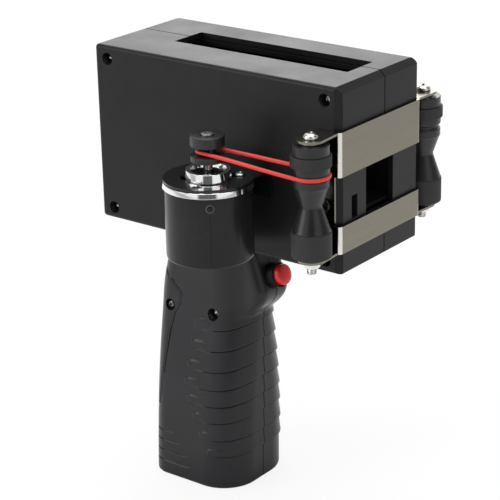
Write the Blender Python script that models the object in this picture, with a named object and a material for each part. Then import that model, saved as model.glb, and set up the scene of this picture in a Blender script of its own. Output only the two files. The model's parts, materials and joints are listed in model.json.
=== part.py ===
"""Handheld date code inkjet printer: a boxy head on a pistol grip, guide rollers and a belt-driven encoder.

The origin is the centre of the grip's flat base. +Z runs up the grip and +X towards the print face.
The large flat side with the encoder faces -Y, and the touch screen faces +Y. All sizes below are in millimetres.
"""

import math

import bmesh
import bpy
from mathutils import Matrix, Vector

MM = 0.001
GAP = 0.3  # between two pieces that touch

# The printer head's case
CASE_LENGTH = 130.5
CASE_WIDTH = 57.6
CASE_HEIGHT = 80.0
CASE_TOP = 205.0
CASE_BOTTOM = CASE_TOP - CASE_HEIGHT
CASE_FRONT = 88.1
CASE_BACK = CASE_FRONT - CASE_LENGTH
CASE_HALF = CASE_WIDTH / 2
CASE_ROUND = 2.6
CASE_WALL = 2.5
SPLIT_Y = 4.2  # where the two case shells meet

# The cartridge pocket behind the slot in the top, and the openings in the print face
SLOT_X = (-15.3, 76.6)
SLOT_Y = (-6.4, 12.3)
POCKET_FLOOR = 148.5
POCKET_WALL = 1.5
WINDOW_Y = (-9.6, 10.5)
WINDOW_Z = (146.0, 176.0)
SENSOR_HOLE_Y = (-20.0, -15.9)
SENSOR_HOLE_Z = (147.5, 157.5)

# Case screws, driven from the -Y side
CASE_SCREW_X = (-35.2, 80.8)
CASE_SCREW_Z = (130.4, 199.1)
CASE_SCREW_HOLE = 2.65
CASE_SCREW_DEPTH = 2.2

# The touch screen on the +Y side
SCREEN_X = (-32.0, 77.0)
SCREEN_Z = (131.5, 198.5)
GLASS_THICK = 1.5

# The bent steel guide bracket
STEEL = 1.0
BRACKET_BACK = CASE_FRONT - 9.6
BAND_UPPER = (167.9, 186.9)
BAND_LOWER = (134.8, 146.7)
BRACKET_BEND = 1.8
TAB_RADIUS = 5.8
BRACKET_SCREW = (82.1, 155.4)

# The two guide rollers
ROLLER_X = 83.1
ROLLER_Y = CASE_HALF + 12.7
ROLLER_TOP = 184.7
ROLLER_BOTTOM = 136.6
ROLLER_BORE = 2.35
ROLLER_RADIUS = 7.6
ROLLER_WAIST = 4.5
TOP_RING_RADIUS = 8.6
LOW_RING_RADIUS = 8.4
ROLLER_GROOVE = 6.7
ROLLER_GROOVE_Z = 171.2
AXLE_RADIUS = 2.0

# The encoder and its pulley
ENCODER_X = 37.8
ENCODER_Y = -50.8
ENCODER_BOTTOM = 130.8
ENCODER_CAN_RADIUS = 18.5
FLANGE_RADIUS = 19.4
FLANGE_Z = (161.5, 163.8)
PLATE_Z = (164.1, 165.1)
BOSS_RADIUS = 9.77
BOSS_TOP = 167.6
SHAFT_RADIUS = 2.0
PULLEY_RADIUS = 7.2
PULLEY_GROOVE = 3.45
PULLEY_GROOVE_Z = 176.2
PULLEY_Z = (172.0, 183.0)
PLATE_SCREW_CIRCLE = 13.0
PLATE_SCREW_ANGLES = (-77.6, 42.4, 162.4)

# The round drive belt
BELT_RADIUS = 0.95

# The grip: height, front, back and half width of its rounded section
GRIP_SECTIONS = (
    (0.0, 24.1, -24.1, 23.8),
    (16.0, 24.4, -23.7, 23.5),
    (32.0, 24.8, -23.3, 22.9),
    (48.0, 25.2, -23.2, 21.6),
    (64.0, 25.5, -23.2, 19.6),
    (80.0, 25.6, -23.0, 17.4),
    (95.0, 25.4, -21.8, 16.5),
    (106.0, 25.2, -19.2, 16.4),
    (124.7, 25.0, -14.5, 16.4),
)
GRIP_FRONT_ROUND = (17.5, 14.5)  # at the base and at the top
GRIP_BACK_ROUND = 8.0
GRIP_WALL = 3.6
STRAP_THICK = 1.6
GRIP_SCREW = (10.4, 84.8)
STRAP_SCREW = (-14.5, 83.9)

# The trigger button, whose axis tilts up from the grip's nose
TRIGGER_FACE = (31.9, 103.1)
TRIGGER_TILT = 18.0
COLLAR_RADIUS = 5.7
COLLAR_OUT = 4.3
BUTTON_RADIUS = 4.65
BUTTON_OUT = 3.0

# Two battery cells stand in the grip
CELL_RADIUS = 9.1
CELL_HEIGHT = 65.0
CELL_BASE = 4.4

# The hatch in the grip's base that the cells go in through
HATCH_LOW = (-21.0, -12.0)
HATCH_HIGH = (21.6, 12.0)
HATCH_THICK = 2.0

# Two bolts hold the case on the grip
GRIP_BOLT_X = 0.0
GRIP_BOLT_Y = 8.0

# Controls on the case's back end, as (y, z)
POWER_BUTTON = (-12.0, 184.0)
USB_SOCKET = (-12.0, 163.0)
USB_HALF = (6.7, 3.1)
CHARGE_SOCKET = (-12.0, 144.0)


def clear_scene():
    for scene_object in list(bpy.data.objects):
        bpy.data.objects.remove(scene_object)


def make_finish(name, colour, roughness, metallic=0.0):
    material = bpy.data.materials.new(name)
    material.use_nodes = True
    shader = material.node_tree.nodes["Principled BSDF"]
    shader.inputs["Base Color"].default_value = (*colour, 1.0)
    shader.inputs["Roughness"].default_value = roughness
    shader.inputs["Metallic"].default_value = metallic
    return material


def make_finishes():
    return {
        "case_plastic": make_finish("case_plastic", (0.022, 0.022, 0.024), 0.42),
        "grip_plastic": make_finish("grip_plastic", (0.020, 0.020, 0.023), 0.45),
        "roller_plastic": make_finish("roller_plastic", (0.022, 0.022, 0.022), 0.5),
        "rubber": make_finish("rubber", (0.018, 0.018, 0.018), 0.8),
        "steel": make_finish("steel", (0.55, 0.54, 0.50), 0.35, 1.0),
        "zinc": make_finish("zinc", (0.72, 0.72, 0.70), 0.25, 1.0),
        "black_metal": make_finish("black_metal", (0.018, 0.018, 0.019), 0.4, 0.6),
        "bright_aluminium": make_finish("bright_aluminium", (0.85, 0.85, 0.86), 0.2, 1.0),
        "belt": make_finish("belt", (0.78, 0.07, 0.05), 0.5),
        "button": make_finish("button", (0.68, 0.018, 0.012), 0.35),
        "board": make_finish("board", (0.02, 0.16, 0.06), 0.5),
        "glass": make_finish("glass", (0.01, 0.01, 0.012), 0.05),
        "cell": make_finish("cell", (0.05, 0.18, 0.45), 0.4),
        "brass": make_finish("brass", (0.75, 0.55, 0.25), 0.3, 1.0),
    }


def finish_mesh(name, bm, finish, origin=(0, 0, 0), smooth_angle=40.0):
    """Turns a bmesh in millimetres of world space into an object whose origin is at the given point."""
    bmesh.ops.remove_doubles(bm, verts=bm.verts, dist=1e-4)
    bmesh.ops.dissolve_degenerate(bm, edges=bm.edges, dist=1e-4)
    bmesh.ops.recalc_face_normals(bm, faces=bm.faces)
    bmesh.ops.transform(bm, matrix=Matrix.Translation(-Vector(origin)), verts=bm.verts)
    bmesh.ops.scale(bm, vec=(MM, MM, MM), verts=bm.verts)
    mesh = bpy.data.meshes.new(name)
    bm.to_mesh(mesh)
    bm.free()
    mesh.shade_smooth()
    mesh.set_sharp_from_angle(angle=math.radians(smooth_angle))
    made = bpy.data.objects.new(name, mesh)
    made.location = Vector(origin) * MM
    bpy.context.scene.collection.objects.link(made)
    if finish is not None:
        mesh.materials.append(finish)
    return made


def block_mesh(low, high):
    bm = bmesh.new()
    size = [b - a for a, b in zip(low, high)]
    middle = [(a + b) / 2 for a, b in zip(low, high)]
    bmesh.ops.create_cube(bm, size=1.0)
    bmesh.ops.scale(bm, vec=size, verts=bm.verts)
    bmesh.ops.translate(bm, vec=middle, verts=bm.verts)
    return bm


def round_edges(bm, chosen, radius, segments=2):
    edges = [e for e in bm.edges if chosen((e.verts[0].co + e.verts[1].co) / 2, e)]
    bmesh.ops.bevel(bm, geom=edges, offset=radius, segments=segments, profile=0.5, affect="EDGES")


def make_block(name, low, high, finish, radius=0.0, segments=2, origin=(0, 0, 0)):
    bm = block_mesh(low, high)
    if radius:
        round_edges(bm, lambda middle, edge: True, radius, segments)
    return finish_mesh(name, bm, finish, origin)


def turned_mesh(profile, segments):
    """Spins a closed outline of (radius, height) points about Z. Points on the axis close the ends."""
    bm = bmesh.new()
    points = [bm.verts.new((radius, 0.0, height)) for radius, height in profile]
    pairs = list(zip(points, points[1:] + points[:1]))
    edges = [bm.edges.new(p) for p in pairs if p[0].co.x > 1e-6 or p[1].co.x > 1e-6]
    bmesh.ops.spin(
        bm,
        geom=points + edges,
        cent=(0, 0, 0),
        axis=(0, 0, 1),
        angle=2 * math.pi,
        steps=segments,
        use_merge=True,
    )
    bmesh.ops.remove_doubles(bm, verts=bm.verts, dist=1e-4)
    return bm


def make_turned(name, profile, place, finish, segments=24, turn=None):
    """A turned piece whose own axis is Z, then turned by a matrix and moved to its place, with its origin there."""
    bm = turned_mesh(profile, segments)
    if turn is not None:
        bmesh.ops.transform(bm, matrix=turn, verts=bm.verts)
    bmesh.ops.translate(bm, vec=place, verts=bm.verts)
    return finish_mesh(name, bm, finish, place)


def make_extruded(name, outline, start, end, finish, plane="XZ"):
    """Extrudes an outline. Plane XZ is drawn from (x, z) points along Y, and plane XY from (x, y) points along Z."""
    bm = bmesh.new()
    if plane == "XZ":
        points = [bm.verts.new((a, start, b)) for a, b in outline]
        along = (0, end - start, 0)
    else:
        points = [bm.verts.new((a, b, start)) for a, b in outline]
        along = (0, 0, end - start)
    face = bm.faces.new(points)
    grown = bmesh.ops.extrude_face_region(bm, geom=[face])
    moved = [v for v in grown["geom"] if isinstance(v, bmesh.types.BMVert)]
    bmesh.ops.translate(bm, vec=along, verts=moved)
    return finish_mesh(name, bm, finish)


def boolean(target, other, operation):
    modifier = target.modifiers.new(operation.lower(), "BOOLEAN")
    modifier.operation = operation
    modifier.solver = "EXACT"
    modifier.object = other
    other.hide_render = True
    other.display_type = "WIRE"


def cut(target, *cutters):
    for cutter in cutters:
        boolean(target, cutter, "DIFFERENCE")


def join(target, *others):
    for other in others:
        boolean(target, other, "UNION")


def cylinder_profile(radius, low, high):
    return [(0.0, high), (radius, high), (radius, low), (0.0, low)]


ALONG_Y = Matrix.Rotation(math.radians(90), 4, "X")
BACKWARDS = Matrix.Rotation(math.radians(-90), 4, "Y")


def cutter_along_y(name, x, z, radius, y_low, y_high, segments=16):
    """A cylinder from y_low to y_high, which cuts a hole through a side wall."""
    profile = cylinder_profile(radius, -y_high, -y_low)
    return make_turned(name, profile, (x, 0, z), None, segments, ALONG_Y)


def case_body(name, y_low, y_high, finish, outer_y):
    """A solid half of the case, rounded round its outer face and along its corners."""
    bm = block_mesh((CASE_BACK, y_low, CASE_BOTTOM), (CASE_FRONT, y_high, CASE_TOP))

    def outside(middle, edge):
        along_y = abs(edge.verts[0].co.y - edge.verts[1].co.y) > 1
        return along_y or abs(middle.y - outer_y) < 0.01

    round_edges(bm, outside, CASE_ROUND, 3)
    return finish_mesh(name, bm, finish)


def case_cavity(name, y_low, y_high):
    return make_block(
        name,
        (CASE_BACK + CASE_WALL, y_low, CASE_BOTTOM + CASE_WALL),
        (CASE_FRONT - CASE_WALL, y_high, CASE_TOP - CASE_WALL),
        None,
    )


def case_openings(tag):
    """The top slot and the print-face window, which both shells share."""
    slot = make_block(
        f"slot_cutter_{tag}",
        (SLOT_X[0], SLOT_Y[0], CASE_TOP - 5),
        (SLOT_X[1], SLOT_Y[1], CASE_TOP + 5),
        None,
    )
    window = make_block(
        f"window_cutter_{tag}",
        (CASE_FRONT - 5, WINDOW_Y[0], WINDOW_Z[0]),
        (CASE_FRONT + 5, WINDOW_Y[1], WINDOW_Z[1]),
        None,
    )
    return slot, window


def make_near_shell(finish):
    """The deeper shell on the encoder's side, with counterbored posts for the case screws."""
    shell = case_body("near_shell", -CASE_HALF, SPLIT_Y - GAP / 2, finish, -CASE_HALF)
    cut(shell, case_cavity("near_cavity", -CASE_HALF + CASE_WALL, SPLIT_Y + 5))
    sensor_hole = make_block(
        "sensor_hole_cutter",
        (CASE_FRONT - 5, SENSOR_HOLE_Y[0], SENSOR_HOLE_Z[0]),
        (CASE_FRONT + 5, SENSOR_HOLE_Y[1], SENSOR_HOLE_Z[1]),
        None,
    )
    cut(shell, *case_openings("near"), sensor_hole)
    for i, (x, z) in enumerate(case_screw_places()):
        post = cutter_along_y(f"near_post_{i}", x, z, 3.9, -CASE_HALF + 1, SPLIT_Y - GAP / 2, 16)
        join(shell, post)
    for i, (x, z) in enumerate(case_screw_places()):
        head_end = -CASE_HALF + CASE_SCREW_DEPTH + 2.4
        recess = cutter_along_y(
            f"screw_recess_{i}", x, z, CASE_SCREW_HOLE, -CASE_HALF - 2, head_end, 16
        )
        through = cutter_along_y(f"screw_through_{i}", x, z, 1.9, head_end - 1, SPLIT_Y + 2, 12)
        cut(shell, recess, through)
    x, z = BRACKET_SCREW
    cut(shell, cutter_along_y("near_bracket_hole", x, z, 1.7, -CASE_HALF - 2, -CASE_HALF + 6, 12))
    cut(shell, grip_bolt_hole("near_shell", -1, 2.0), *end_hole_cutters())
    return shell


def grip_bolt_hole(tag, side, radius):
    low, high = CASE_BOTTOM - 6, CASE_BOTTOM + 6
    place = (GRIP_BOLT_X, side * GRIP_BOLT_Y, 0)
    return make_turned(f"{tag}_bolt_hole_cutter", cylinder_profile(radius, low, high), place, None, 12)


def case_screw_places():
    return [(x, z) for x in CASE_SCREW_X for z in CASE_SCREW_Z]


def make_screen_shell(finish):
    """The shallower shell on the touch screen's side, with the posts that the case screws bite into."""
    shell = case_body("screen_shell", SPLIT_Y + GAP / 2, CASE_HALF, finish, CASE_HALF)
    cut(shell, case_cavity("screen_cavity", SPLIT_Y - 5, CASE_HALF - 4.0))
    recess = make_block(
        "glass_recess",
        (SCREEN_X[0] - GAP, CASE_HALF - GLASS_THICK - GAP, SCREEN_Z[0] - GAP),
        (SCREEN_X[1] + GAP, CASE_HALF + 5, SCREEN_Z[1] + GAP),
        None,
    )
    opening = make_block(
        "display_opening",
        (SCREEN_X[0] + 5, CASE_HALF - 10, SCREEN_Z[0] + 5),
        (SCREEN_X[1] - 5, CASE_HALF + 5, SCREEN_Z[1] - 5),
        None,
    )
    cut(shell, *case_openings("screen"), recess, opening)
    for i, (x, z) in enumerate(case_screw_places()):
        post = cutter_along_y(
            f"screen_post_{i}", x, z, 3.9, SPLIT_Y + GAP / 2, CASE_HALF - 3.5, 16
        )
        join(shell, post)
    for i, (x, z) in enumerate(case_screw_places()):
        cut(shell, cutter_along_y(f"screw_bite_{i}", x, z, 1.8, SPLIT_Y - 2, SPLIT_Y + 13, 12))
    x, z = BRACKET_SCREW
    cut(shell, cutter_along_y("far_bracket_hole", x, z, 1.7, CASE_HALF - 6, CASE_HALF + 2, 12))
    cut(shell, grip_bolt_hole("screen_shell", 1, 2.0))
    return shell


def pan_screw_profile(head_radius, head_height, shank_radius, length):
    """A pan-head screw along Z: its head stands above 0 and its shank runs below."""
    return [
        (0.0, head_height),
        (head_radius * 0.55, head_height * 0.92),
        (head_radius * 0.88, head_height * 0.6),
        (head_radius, 0.0),
        (shank_radius, 0.0),
        (shank_radius, -length),
        (0.0, -length),
    ]


def make_case_screws(finish):
    for i, (x, z) in enumerate(case_screw_places(), 1):
        profile = pan_screw_profile(2.3, 1.7, 1.45, 34.0)
        seat = -CASE_HALF + CASE_SCREW_DEPTH + 2.1
        make_turned(f"case_screw_{i}", profile, (x, seat, z), finish, 12, ALONG_Y)


def make_cartridge_pocket(finish):
    """An open trough under the slot. Its front end opens into the print-face window."""
    low = (SLOT_X[0] - POCKET_WALL, SLOT_Y[0] - POCKET_WALL, POCKET_FLOOR - POCKET_WALL)
    high = (CASE_FRONT - CASE_WALL - GAP, SLOT_Y[1] + POCKET_WALL, CASE_TOP - CASE_WALL - GAP)
    pocket = make_block("cartridge_pocket", low, high, finish)
    inside = make_block(
        "pocket_inside",
        (SLOT_X[0], SLOT_Y[0], POCKET_FLOOR),
        (CASE_FRONT, SLOT_Y[1], CASE_TOP),
        None,
    )
    screw_corner = make_block(
        "pocket_screw_corner", (SLOT_X[1] - 0.2, low[1] - 5, 194.4), (CASE_FRONT, high[1] + 5, 210), None
    )
    cut(pocket, inside, screw_corner)
    rail = make_block(
        "pocket_rail",
        (SLOT_X[0] - 0.5, SLOT_Y[1] - 1.2, 199.6),
        (SLOT_X[1], SLOT_Y[1] + 0.5, 202.0),
        None,
    )
    join(pocket, rail)
    return pocket


def make_case_insides(finishes):
    make_cartridge_pocket(finishes["case_plastic"])
    make_block(
        "contact_board",
        (SLOT_X[0] + GAP, -5.0, 152.0),
        (SLOT_X[0] + GAP + 1.6, 10.0, 192.0),
        finishes["board"],
    )
    make_block(
        "main_board",
        (-36.0, 17.0, 137.0),
        (74.0, 18.6, 193.0),
        finishes["board"],
    )
    make_block(
        "display_module",
        (SCREEN_X[0] + 5 + GAP, 20.6, SCREEN_Z[0] + 5 + GAP),
        (SCREEN_X[1] - 5 - GAP, CASE_HALF - GLASS_THICK - GAP, SCREEN_Z[1] - 5 - GAP),
        finishes["case_plastic"],
    )
    make_block(
        "touch_screen",
        (SCREEN_X[0], CASE_HALF - GLASS_THICK, SCREEN_Z[0]),
        (SCREEN_X[1], CASE_HALF, SCREEN_Z[1]),
        finishes["glass"],
    )
    make_block(
        "power_board",
        (-30.0, -24.5, 130.0),
        (-18.0, 14.0, 197.0),
        finishes["board"],
    )
    make_block(
        "print_sensor",
        (CASE_FRONT - CASE_WALL - GAP - 6, SENSOR_HOLE_Y[0] - 1.5, SENSOR_HOLE_Z[0] - 1.5),
        (CASE_FRONT - CASE_WALL - GAP, SENSOR_HOLE_Y[1] + 1.5, SENSOR_HOLE_Z[1] + 1.5),
        finishes["case_plastic"],
    )


def make_guide_bracket(finish):
    """One bent sheet of steel: two bands across the print face, a side plate down each flank and four roller tabs."""
    inner = CASE_HALF + GAP
    outer = inner + STEEL
    low, high = BAND_LOWER[0], BAND_UPPER[1]
    front = CASE_FRONT + GAP + STEEL
    bm = block_mesh((BRACKET_BACK, -outer, low), (front, outer, high))

    def front_corner(middle, edge):
        return middle.x > front - 0.01 and abs(middle.y) > outer - 0.01

    round_edges(bm, front_corner, BRACKET_BEND, 3)
    bracket = finish_mesh("guide_bracket", bm, finish)
    hollow = make_block(
        "bracket_hollow",
        (BRACKET_BACK - 5, -inner, low - 5),
        (front - STEEL, inner, high + 5),
        None,
    )
    between = make_block(
        "between_bands",
        (CASE_FRONT - 1.5, -outer - 5, BAND_LOWER[1]),
        (front + 5, outer + 5, BAND_UPPER[0]),
        None,
    )
    cut(bracket, hollow, between)
    for side, side_name in ((-1, "near"), (1, "far")):
        for level, level_name in ((high - STEEL, "top"), (low, "bottom")):
            tab = make_roller_tab(f"{side_name}_{level_name}_tab", side, level, inner)
            join(bracket, tab)
    for side, side_name in ((-1, "near"), (1, "far")):
        bolt_hole = make_turned(
            f"{side_name}_bolt_hole",
            cylinder_profile(AXLE_RADIUS + GAP, low - 5, high + 5),
            (ROLLER_X, side * ROLLER_Y, 0),
            None,
            16,
        )
        x, z = BRACKET_SCREW
        ends = sorted((side * (inner - 3), side * (outer + 3)))
        screw_hole = cutter_along_y(f"{side_name}_plate_hole", x, z, 1.75, *ends, 12)
        cut(bracket, bolt_hole, screw_hole)
    return bracket


def make_roller_tab(name, side, level, inner):
    """A flat tongue from the side plate to the roller's bolt, with a round end."""
    points = [(BRACKET_BACK, side * (inner + 0.2))]
    for step in range(9):
        angle = math.radians(180 + 180 * step / 8)
        x = ROLLER_X + TAB_RADIUS * math.cos(angle)
        y = ROLLER_Y - TAB_RADIUS * math.sin(angle)
        points.append((x, side * y))
    points.append((CASE_FRONT, side * (inner + 0.2)))
    return make_extruded(name, points, level, level + STEEL, None, "XY")


def make_bracket_screws(finish):
    x, z = BRACKET_SCREW
    seat = CASE_HALF + GAP + STEEL + GAP
    profile = pan_screw_profile(2.6, 1.6, 1.35, 6.5)
    make_turned("near_bracket_screw", profile, (x, -seat, z), finish, 12, ALONG_Y)
    away = Matrix.Rotation(math.radians(-90), 4, "X")
    make_turned("far_bracket_screw", profile, (x, seat, z), finish, 12, away)


def roller_profile(with_groove):
    """The roller's section, from the top of the bore round the outside: cap, ring seat, belt groove, waist, seat, cap."""
    seat = TOP_RING_RADIUS - 1.9
    groove = ROLLER_GROOVE if with_groove else ROLLER_GROOVE + 0.4
    top, bottom, bore = ROLLER_TOP, ROLLER_BOTTOM, ROLLER_BORE
    return [
        (bore, top),
        (ROLLER_RADIUS - 0.5, top),
        (ROLLER_RADIUS, top - 0.5),
        (ROLLER_RADIUS, 180.4),
        (seat, 180.4),
        (seat, 174.2),
        (ROLLER_RADIUS, 174.2),
        (ROLLER_RADIUS, ROLLER_GROOVE_Z + 1.6),
        (groove, ROLLER_GROOVE_Z + 1.3),
        (groove, ROLLER_GROOVE_Z - 1.3),
        (ROLLER_RADIUS, ROLLER_GROOVE_Z - 1.6),
        (ROLLER_RADIUS, 166.6),
        (ROLLER_RADIUS - 0.6, 166.2),
        (ROLLER_WAIST, 157.2),
        (ROLLER_WAIST + 0.1, 156.6),
        (8.0, 147.2),
        (LOW_RING_RADIUS - 1.7, 147.0),
        (LOW_RING_RADIUS - 1.7, 140.0),
        (ROLLER_RADIUS, 140.0),
        (ROLLER_RADIUS, bottom + 0.5),
        (ROLLER_RADIUS - 0.5, bottom),
        (bore, bottom),
    ]


def ring_profile(inside, outside, low, high):
    return [
        (inside, high),
        (outside - 0.4, high),
        (outside, high - 0.5),
        (outside, low + 0.5),
        (outside - 0.4, low),
        (inside, low),
    ]


def make_roller(side_name, side, finishes):
    """A turned roller with two rubber rings, which spins on a bolt between the bracket's tabs."""
    place = (ROLLER_X, side * ROLLER_Y, 0)
    core = make_turned(
        f"{side_name}_roller", roller_profile(side < 0), place, finishes["roller_plastic"], 24
    )
    top_seat = TOP_RING_RADIUS - 1.9 + GAP
    low_seat = LOW_RING_RADIUS - 1.7 + GAP
    rings = (
        ("top_ring", ring_profile(top_seat, TOP_RING_RADIUS, 174.2 + GAP, 180.4 - GAP)),
        ("low_ring", ring_profile(low_seat, LOW_RING_RADIUS, 140.0 + GAP, 147.0 - GAP)),
    )
    for ring_name, profile in rings:
        ring = make_turned(f"{side_name}_{ring_name}", profile, place, finishes["rubber"], 24)
        keep_parent(ring, core)
    make_axle(side_name, place, finishes)


def keep_parent(child, parent):
    bpy.context.view_layer.update()
    child.parent = parent
    child.matrix_parent_inverse = parent.matrix_world.inverted()


def make_axle(side_name, place, finishes):
    """The long bolt through both tabs, its nut, and the washer above the roller."""
    x, y, _ = place
    head_seat = BAND_UPPER[1] + GAP
    bolt_end = 129.2
    profile = pan_screw_profile(3.15, 2.3, AXLE_RADIUS, head_seat - bolt_end)
    make_turned(f"{side_name}_axle_bolt", profile, (x, y, head_seat), finishes["zinc"], 16)
    nut_top = BAND_LOWER[0] - GAP
    nut = [
        (AXLE_RADIUS + GAP, nut_top),
        (3.5, nut_top),
        (3.5, nut_top - 2.4),
        (AXLE_RADIUS + GAP, nut_top - 2.4),
    ]
    make_turned(f"{side_name}_axle_nut", nut, (x, y, 0), finishes["zinc"], 6)
    washer_low = ROLLER_TOP + 0.3
    washer_high = BAND_UPPER[1] - STEEL - 0.3
    washer = [
        (AXLE_RADIUS + GAP, washer_high),
        (4.2, washer_high),
        (4.2, washer_low),
        (AXLE_RADIUS + GAP, washer_low),
    ]
    make_turned(f"{side_name}_washer", washer, (x, y, 0), finishes["zinc"], 16)


def make_encoder_bracket(finish):
    """A black steel plate: its round end sits on the encoder's flange, and its back edge folds down the case's flank."""
    wall = -CASE_HALF - GAP
    half = 16.5
    points = [(ENCODER_X + half, wall)]
    start = math.degrees(math.acos(half / 18.9))
    for step in range(25):
        angle = math.radians(start - (180 + 2 * start) * step / 24)
        points.append((ENCODER_X + 18.9 * math.cos(angle), ENCODER_Y + 18.9 * math.sin(angle)))
    points.append((ENCODER_X - half, wall))
    plate = make_extruded("encoder_bracket", points, PLATE_Z[0], PLATE_Z[1], finish, "XY")
    leg = make_block(
        "bracket_leg",
        (ENCODER_X - half, wall - 1.2, 152.9),
        (ENCODER_X + half, wall, PLATE_Z[1]),
        None,
    )
    join(plate, leg)
    place = (ENCODER_X, ENCODER_Y, 0)
    low, high = PLATE_Z[0] - 3, PLATE_Z[1] + 3
    hole = make_turned("boss_hole", cylinder_profile(11.3, low, high), place, None, 24)
    cut(plate, hole)
    for i, (x, y) in enumerate(plate_screw_places()):
        cut(plate, make_turned(f"plate_hole_{i}", cylinder_profile(1.5, low, high), (x, y, 0), None, 12))
    return plate


def plate_screw_places():
    places = []
    for angle in PLATE_SCREW_ANGLES:
        turn = math.radians(angle)
        x = ENCODER_X + PLATE_SCREW_CIRCLE * math.cos(turn)
        y = ENCODER_Y + PLATE_SCREW_CIRCLE * math.sin(turn)
        places.append((x, y))
    return places


def make_encoder(finishes):
    place = (ENCODER_X, ENCODER_Y, 0)
    make_encoder_bracket(finishes["black_metal"])
    low, high = FLANGE_Z
    flange = make_turned(
        "encoder_flange",
        [
            (3.9, 165.8),
            (7.5, 165.8),
            (7.9, BOSS_TOP),
            (BOSS_RADIUS - 0.3, BOSS_TOP),
            (BOSS_RADIUS, BOSS_TOP - 0.3),
            (BOSS_RADIUS, high),
            (FLANGE_RADIUS - 0.2, high),
            (FLANGE_RADIUS, high - 0.2),
            (FLANGE_RADIUS, low),
            (ENCODER_CAN_RADIUS - 2.0, low),
            (ENCODER_CAN_RADIUS - 2.0, low - 3.0),
            (6.0, low - 3.0),
            (6.0, 163.6),
            (3.9, 163.6),
        ],
        place,
        finishes["bright_aluminium"],
        48,
    )
    for i, (x, y) in enumerate(plate_screw_places()):
        hole = cylinder_profile(1.5, low - 6, high + 3)
        cut(flange, make_turned(f"flange_hole_{i}", hole, (x, y, 0), None, 12))
        profile = pan_screw_profile(2.2, 1.1, 1.2, 4.5)
        make_turned(
            f"encoder_screw_{i + 1}", profile, (x, y, PLATE_Z[1] + 0.1), finishes["zinc"], 12
        )
    base, rim = ENCODER_BOTTOM, low - GAP
    wall = ENCODER_CAN_RADIUS - 1.5
    make_turned(
        "encoder_can",
        [
            (wall, rim),
            (ENCODER_CAN_RADIUS, rim),
            (ENCODER_CAN_RADIUS, base + 1.0),
            (ENCODER_CAN_RADIUS - 0.3, base + 0.3),
            (ENCODER_CAN_RADIUS - 1.0, base),
            (0.0, base),
            (0.0, base + 1.5),
            (wall, base + 1.5),
        ],
        place,
        finishes["black_metal"],
        48,
    )
    make_encoder_insides(place, finishes)


def make_encoder_insides(place, finishes):
    make_turned(
        "encoder_bearing",
        [(2.3, 163.2), (5.7, 163.2), (5.7, 158.6), (2.3, 158.6)],
        place,
        finishes["zinc"],
        16,
    )
    shaft_profile = [
        (0.0, 181.6),
        (SHAFT_RADIUS, 181.6),
        (SHAFT_RADIUS, 152.2),
        (3.2, 152.2),
        (3.2, 151.2),
        (0.0, 151.2),
    ]
    shaft = make_turned("encoder_shaft", shaft_profile, place, finishes["bright_aluminium"], 16)
    disc_profile = [(2.3, 152.9), (13.0, 152.9), (13.0, 152.5), (2.3, 152.5)]
    disc = make_turned("code_disc", disc_profile, place, finishes["glass"], 24)
    keep_parent(disc, shaft)
    board_profile = [(4.0, 147.6), (16.4, 147.6), (16.4, 146.0), (4.0, 146.0)]
    make_turned("encoder_board", board_profile, place, finishes["board"], 24)
    make_pulley(place, shaft, finishes)


def make_pulley(place, shaft, finishes):
    """A black spool on the encoder's shaft. A small screw in its top clamps it."""
    low, high = PULLEY_Z
    bore = SHAFT_RADIUS + GAP
    profile = [
        (bore, 181.9),
        (2.9, 181.9),
        (2.9, high),
        (PULLEY_RADIUS - 0.4, high),
        (PULLEY_RADIUS, high - 0.4),
        (PULLEY_RADIUS, PULLEY_GROOVE_Z + 2.5),
        (PULLEY_GROOVE, PULLEY_GROOVE_Z + 1.5),
        (PULLEY_GROOVE, PULLEY_GROOVE_Z - 1.3),
        (PULLEY_RADIUS, PULLEY_GROOVE_Z - 1.7),
        (PULLEY_RADIUS, low + 0.4),
        (PULLEY_RADIUS - 0.4, low),
        (bore, low),
    ]
    pulley = make_turned("drive_pulley", profile, place, finishes["roller_plastic"], 32)
    screw = make_turned(
        "pulley_screw",
        [(0.0, 183.7), (2.0, 183.6), (2.6, 183.1), (2.6, 182.2), (0.0, 182.2)],
        place,
        finishes["zinc"],
        16,
    )
    keep_parent(pulley, shaft)
    keep_parent(screw, shaft)


def belt_path():
    """The belt's centre line: an arc round each pulley joined by two straight strands, which slope with the two grooves."""
    first = Vector((ENCODER_X, ENCODER_Y))
    second = Vector((ROLLER_X, -ROLLER_Y))
    radius_first = PULLEY_GROOVE + BELT_RADIUS + GAP
    radius_second = ROLLER_GROOVE + BELT_RADIUS + GAP
    along = second - first
    heading = math.atan2(along.y, along.x)
    lean = math.acos((radius_first - radius_second) / along.length)
    points = []
    arc_steps = 10
    for step in range(arc_steps + 1):
        angle = heading + lean + (2 * math.pi - 2 * lean) * step / arc_steps
        centre = first + radius_first * Vector((math.cos(angle), math.sin(angle)))
        points.append((centre.x, centre.y, PULLEY_GROOVE_Z))
    for step in range(arc_steps + 1):
        angle = heading - lean + 2 * lean * step / arc_steps
        centre = second + radius_second * Vector((math.cos(angle), math.sin(angle)))
        points.append((centre.x, centre.y, ROLLER_GROOVE_Z))
    return points


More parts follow.
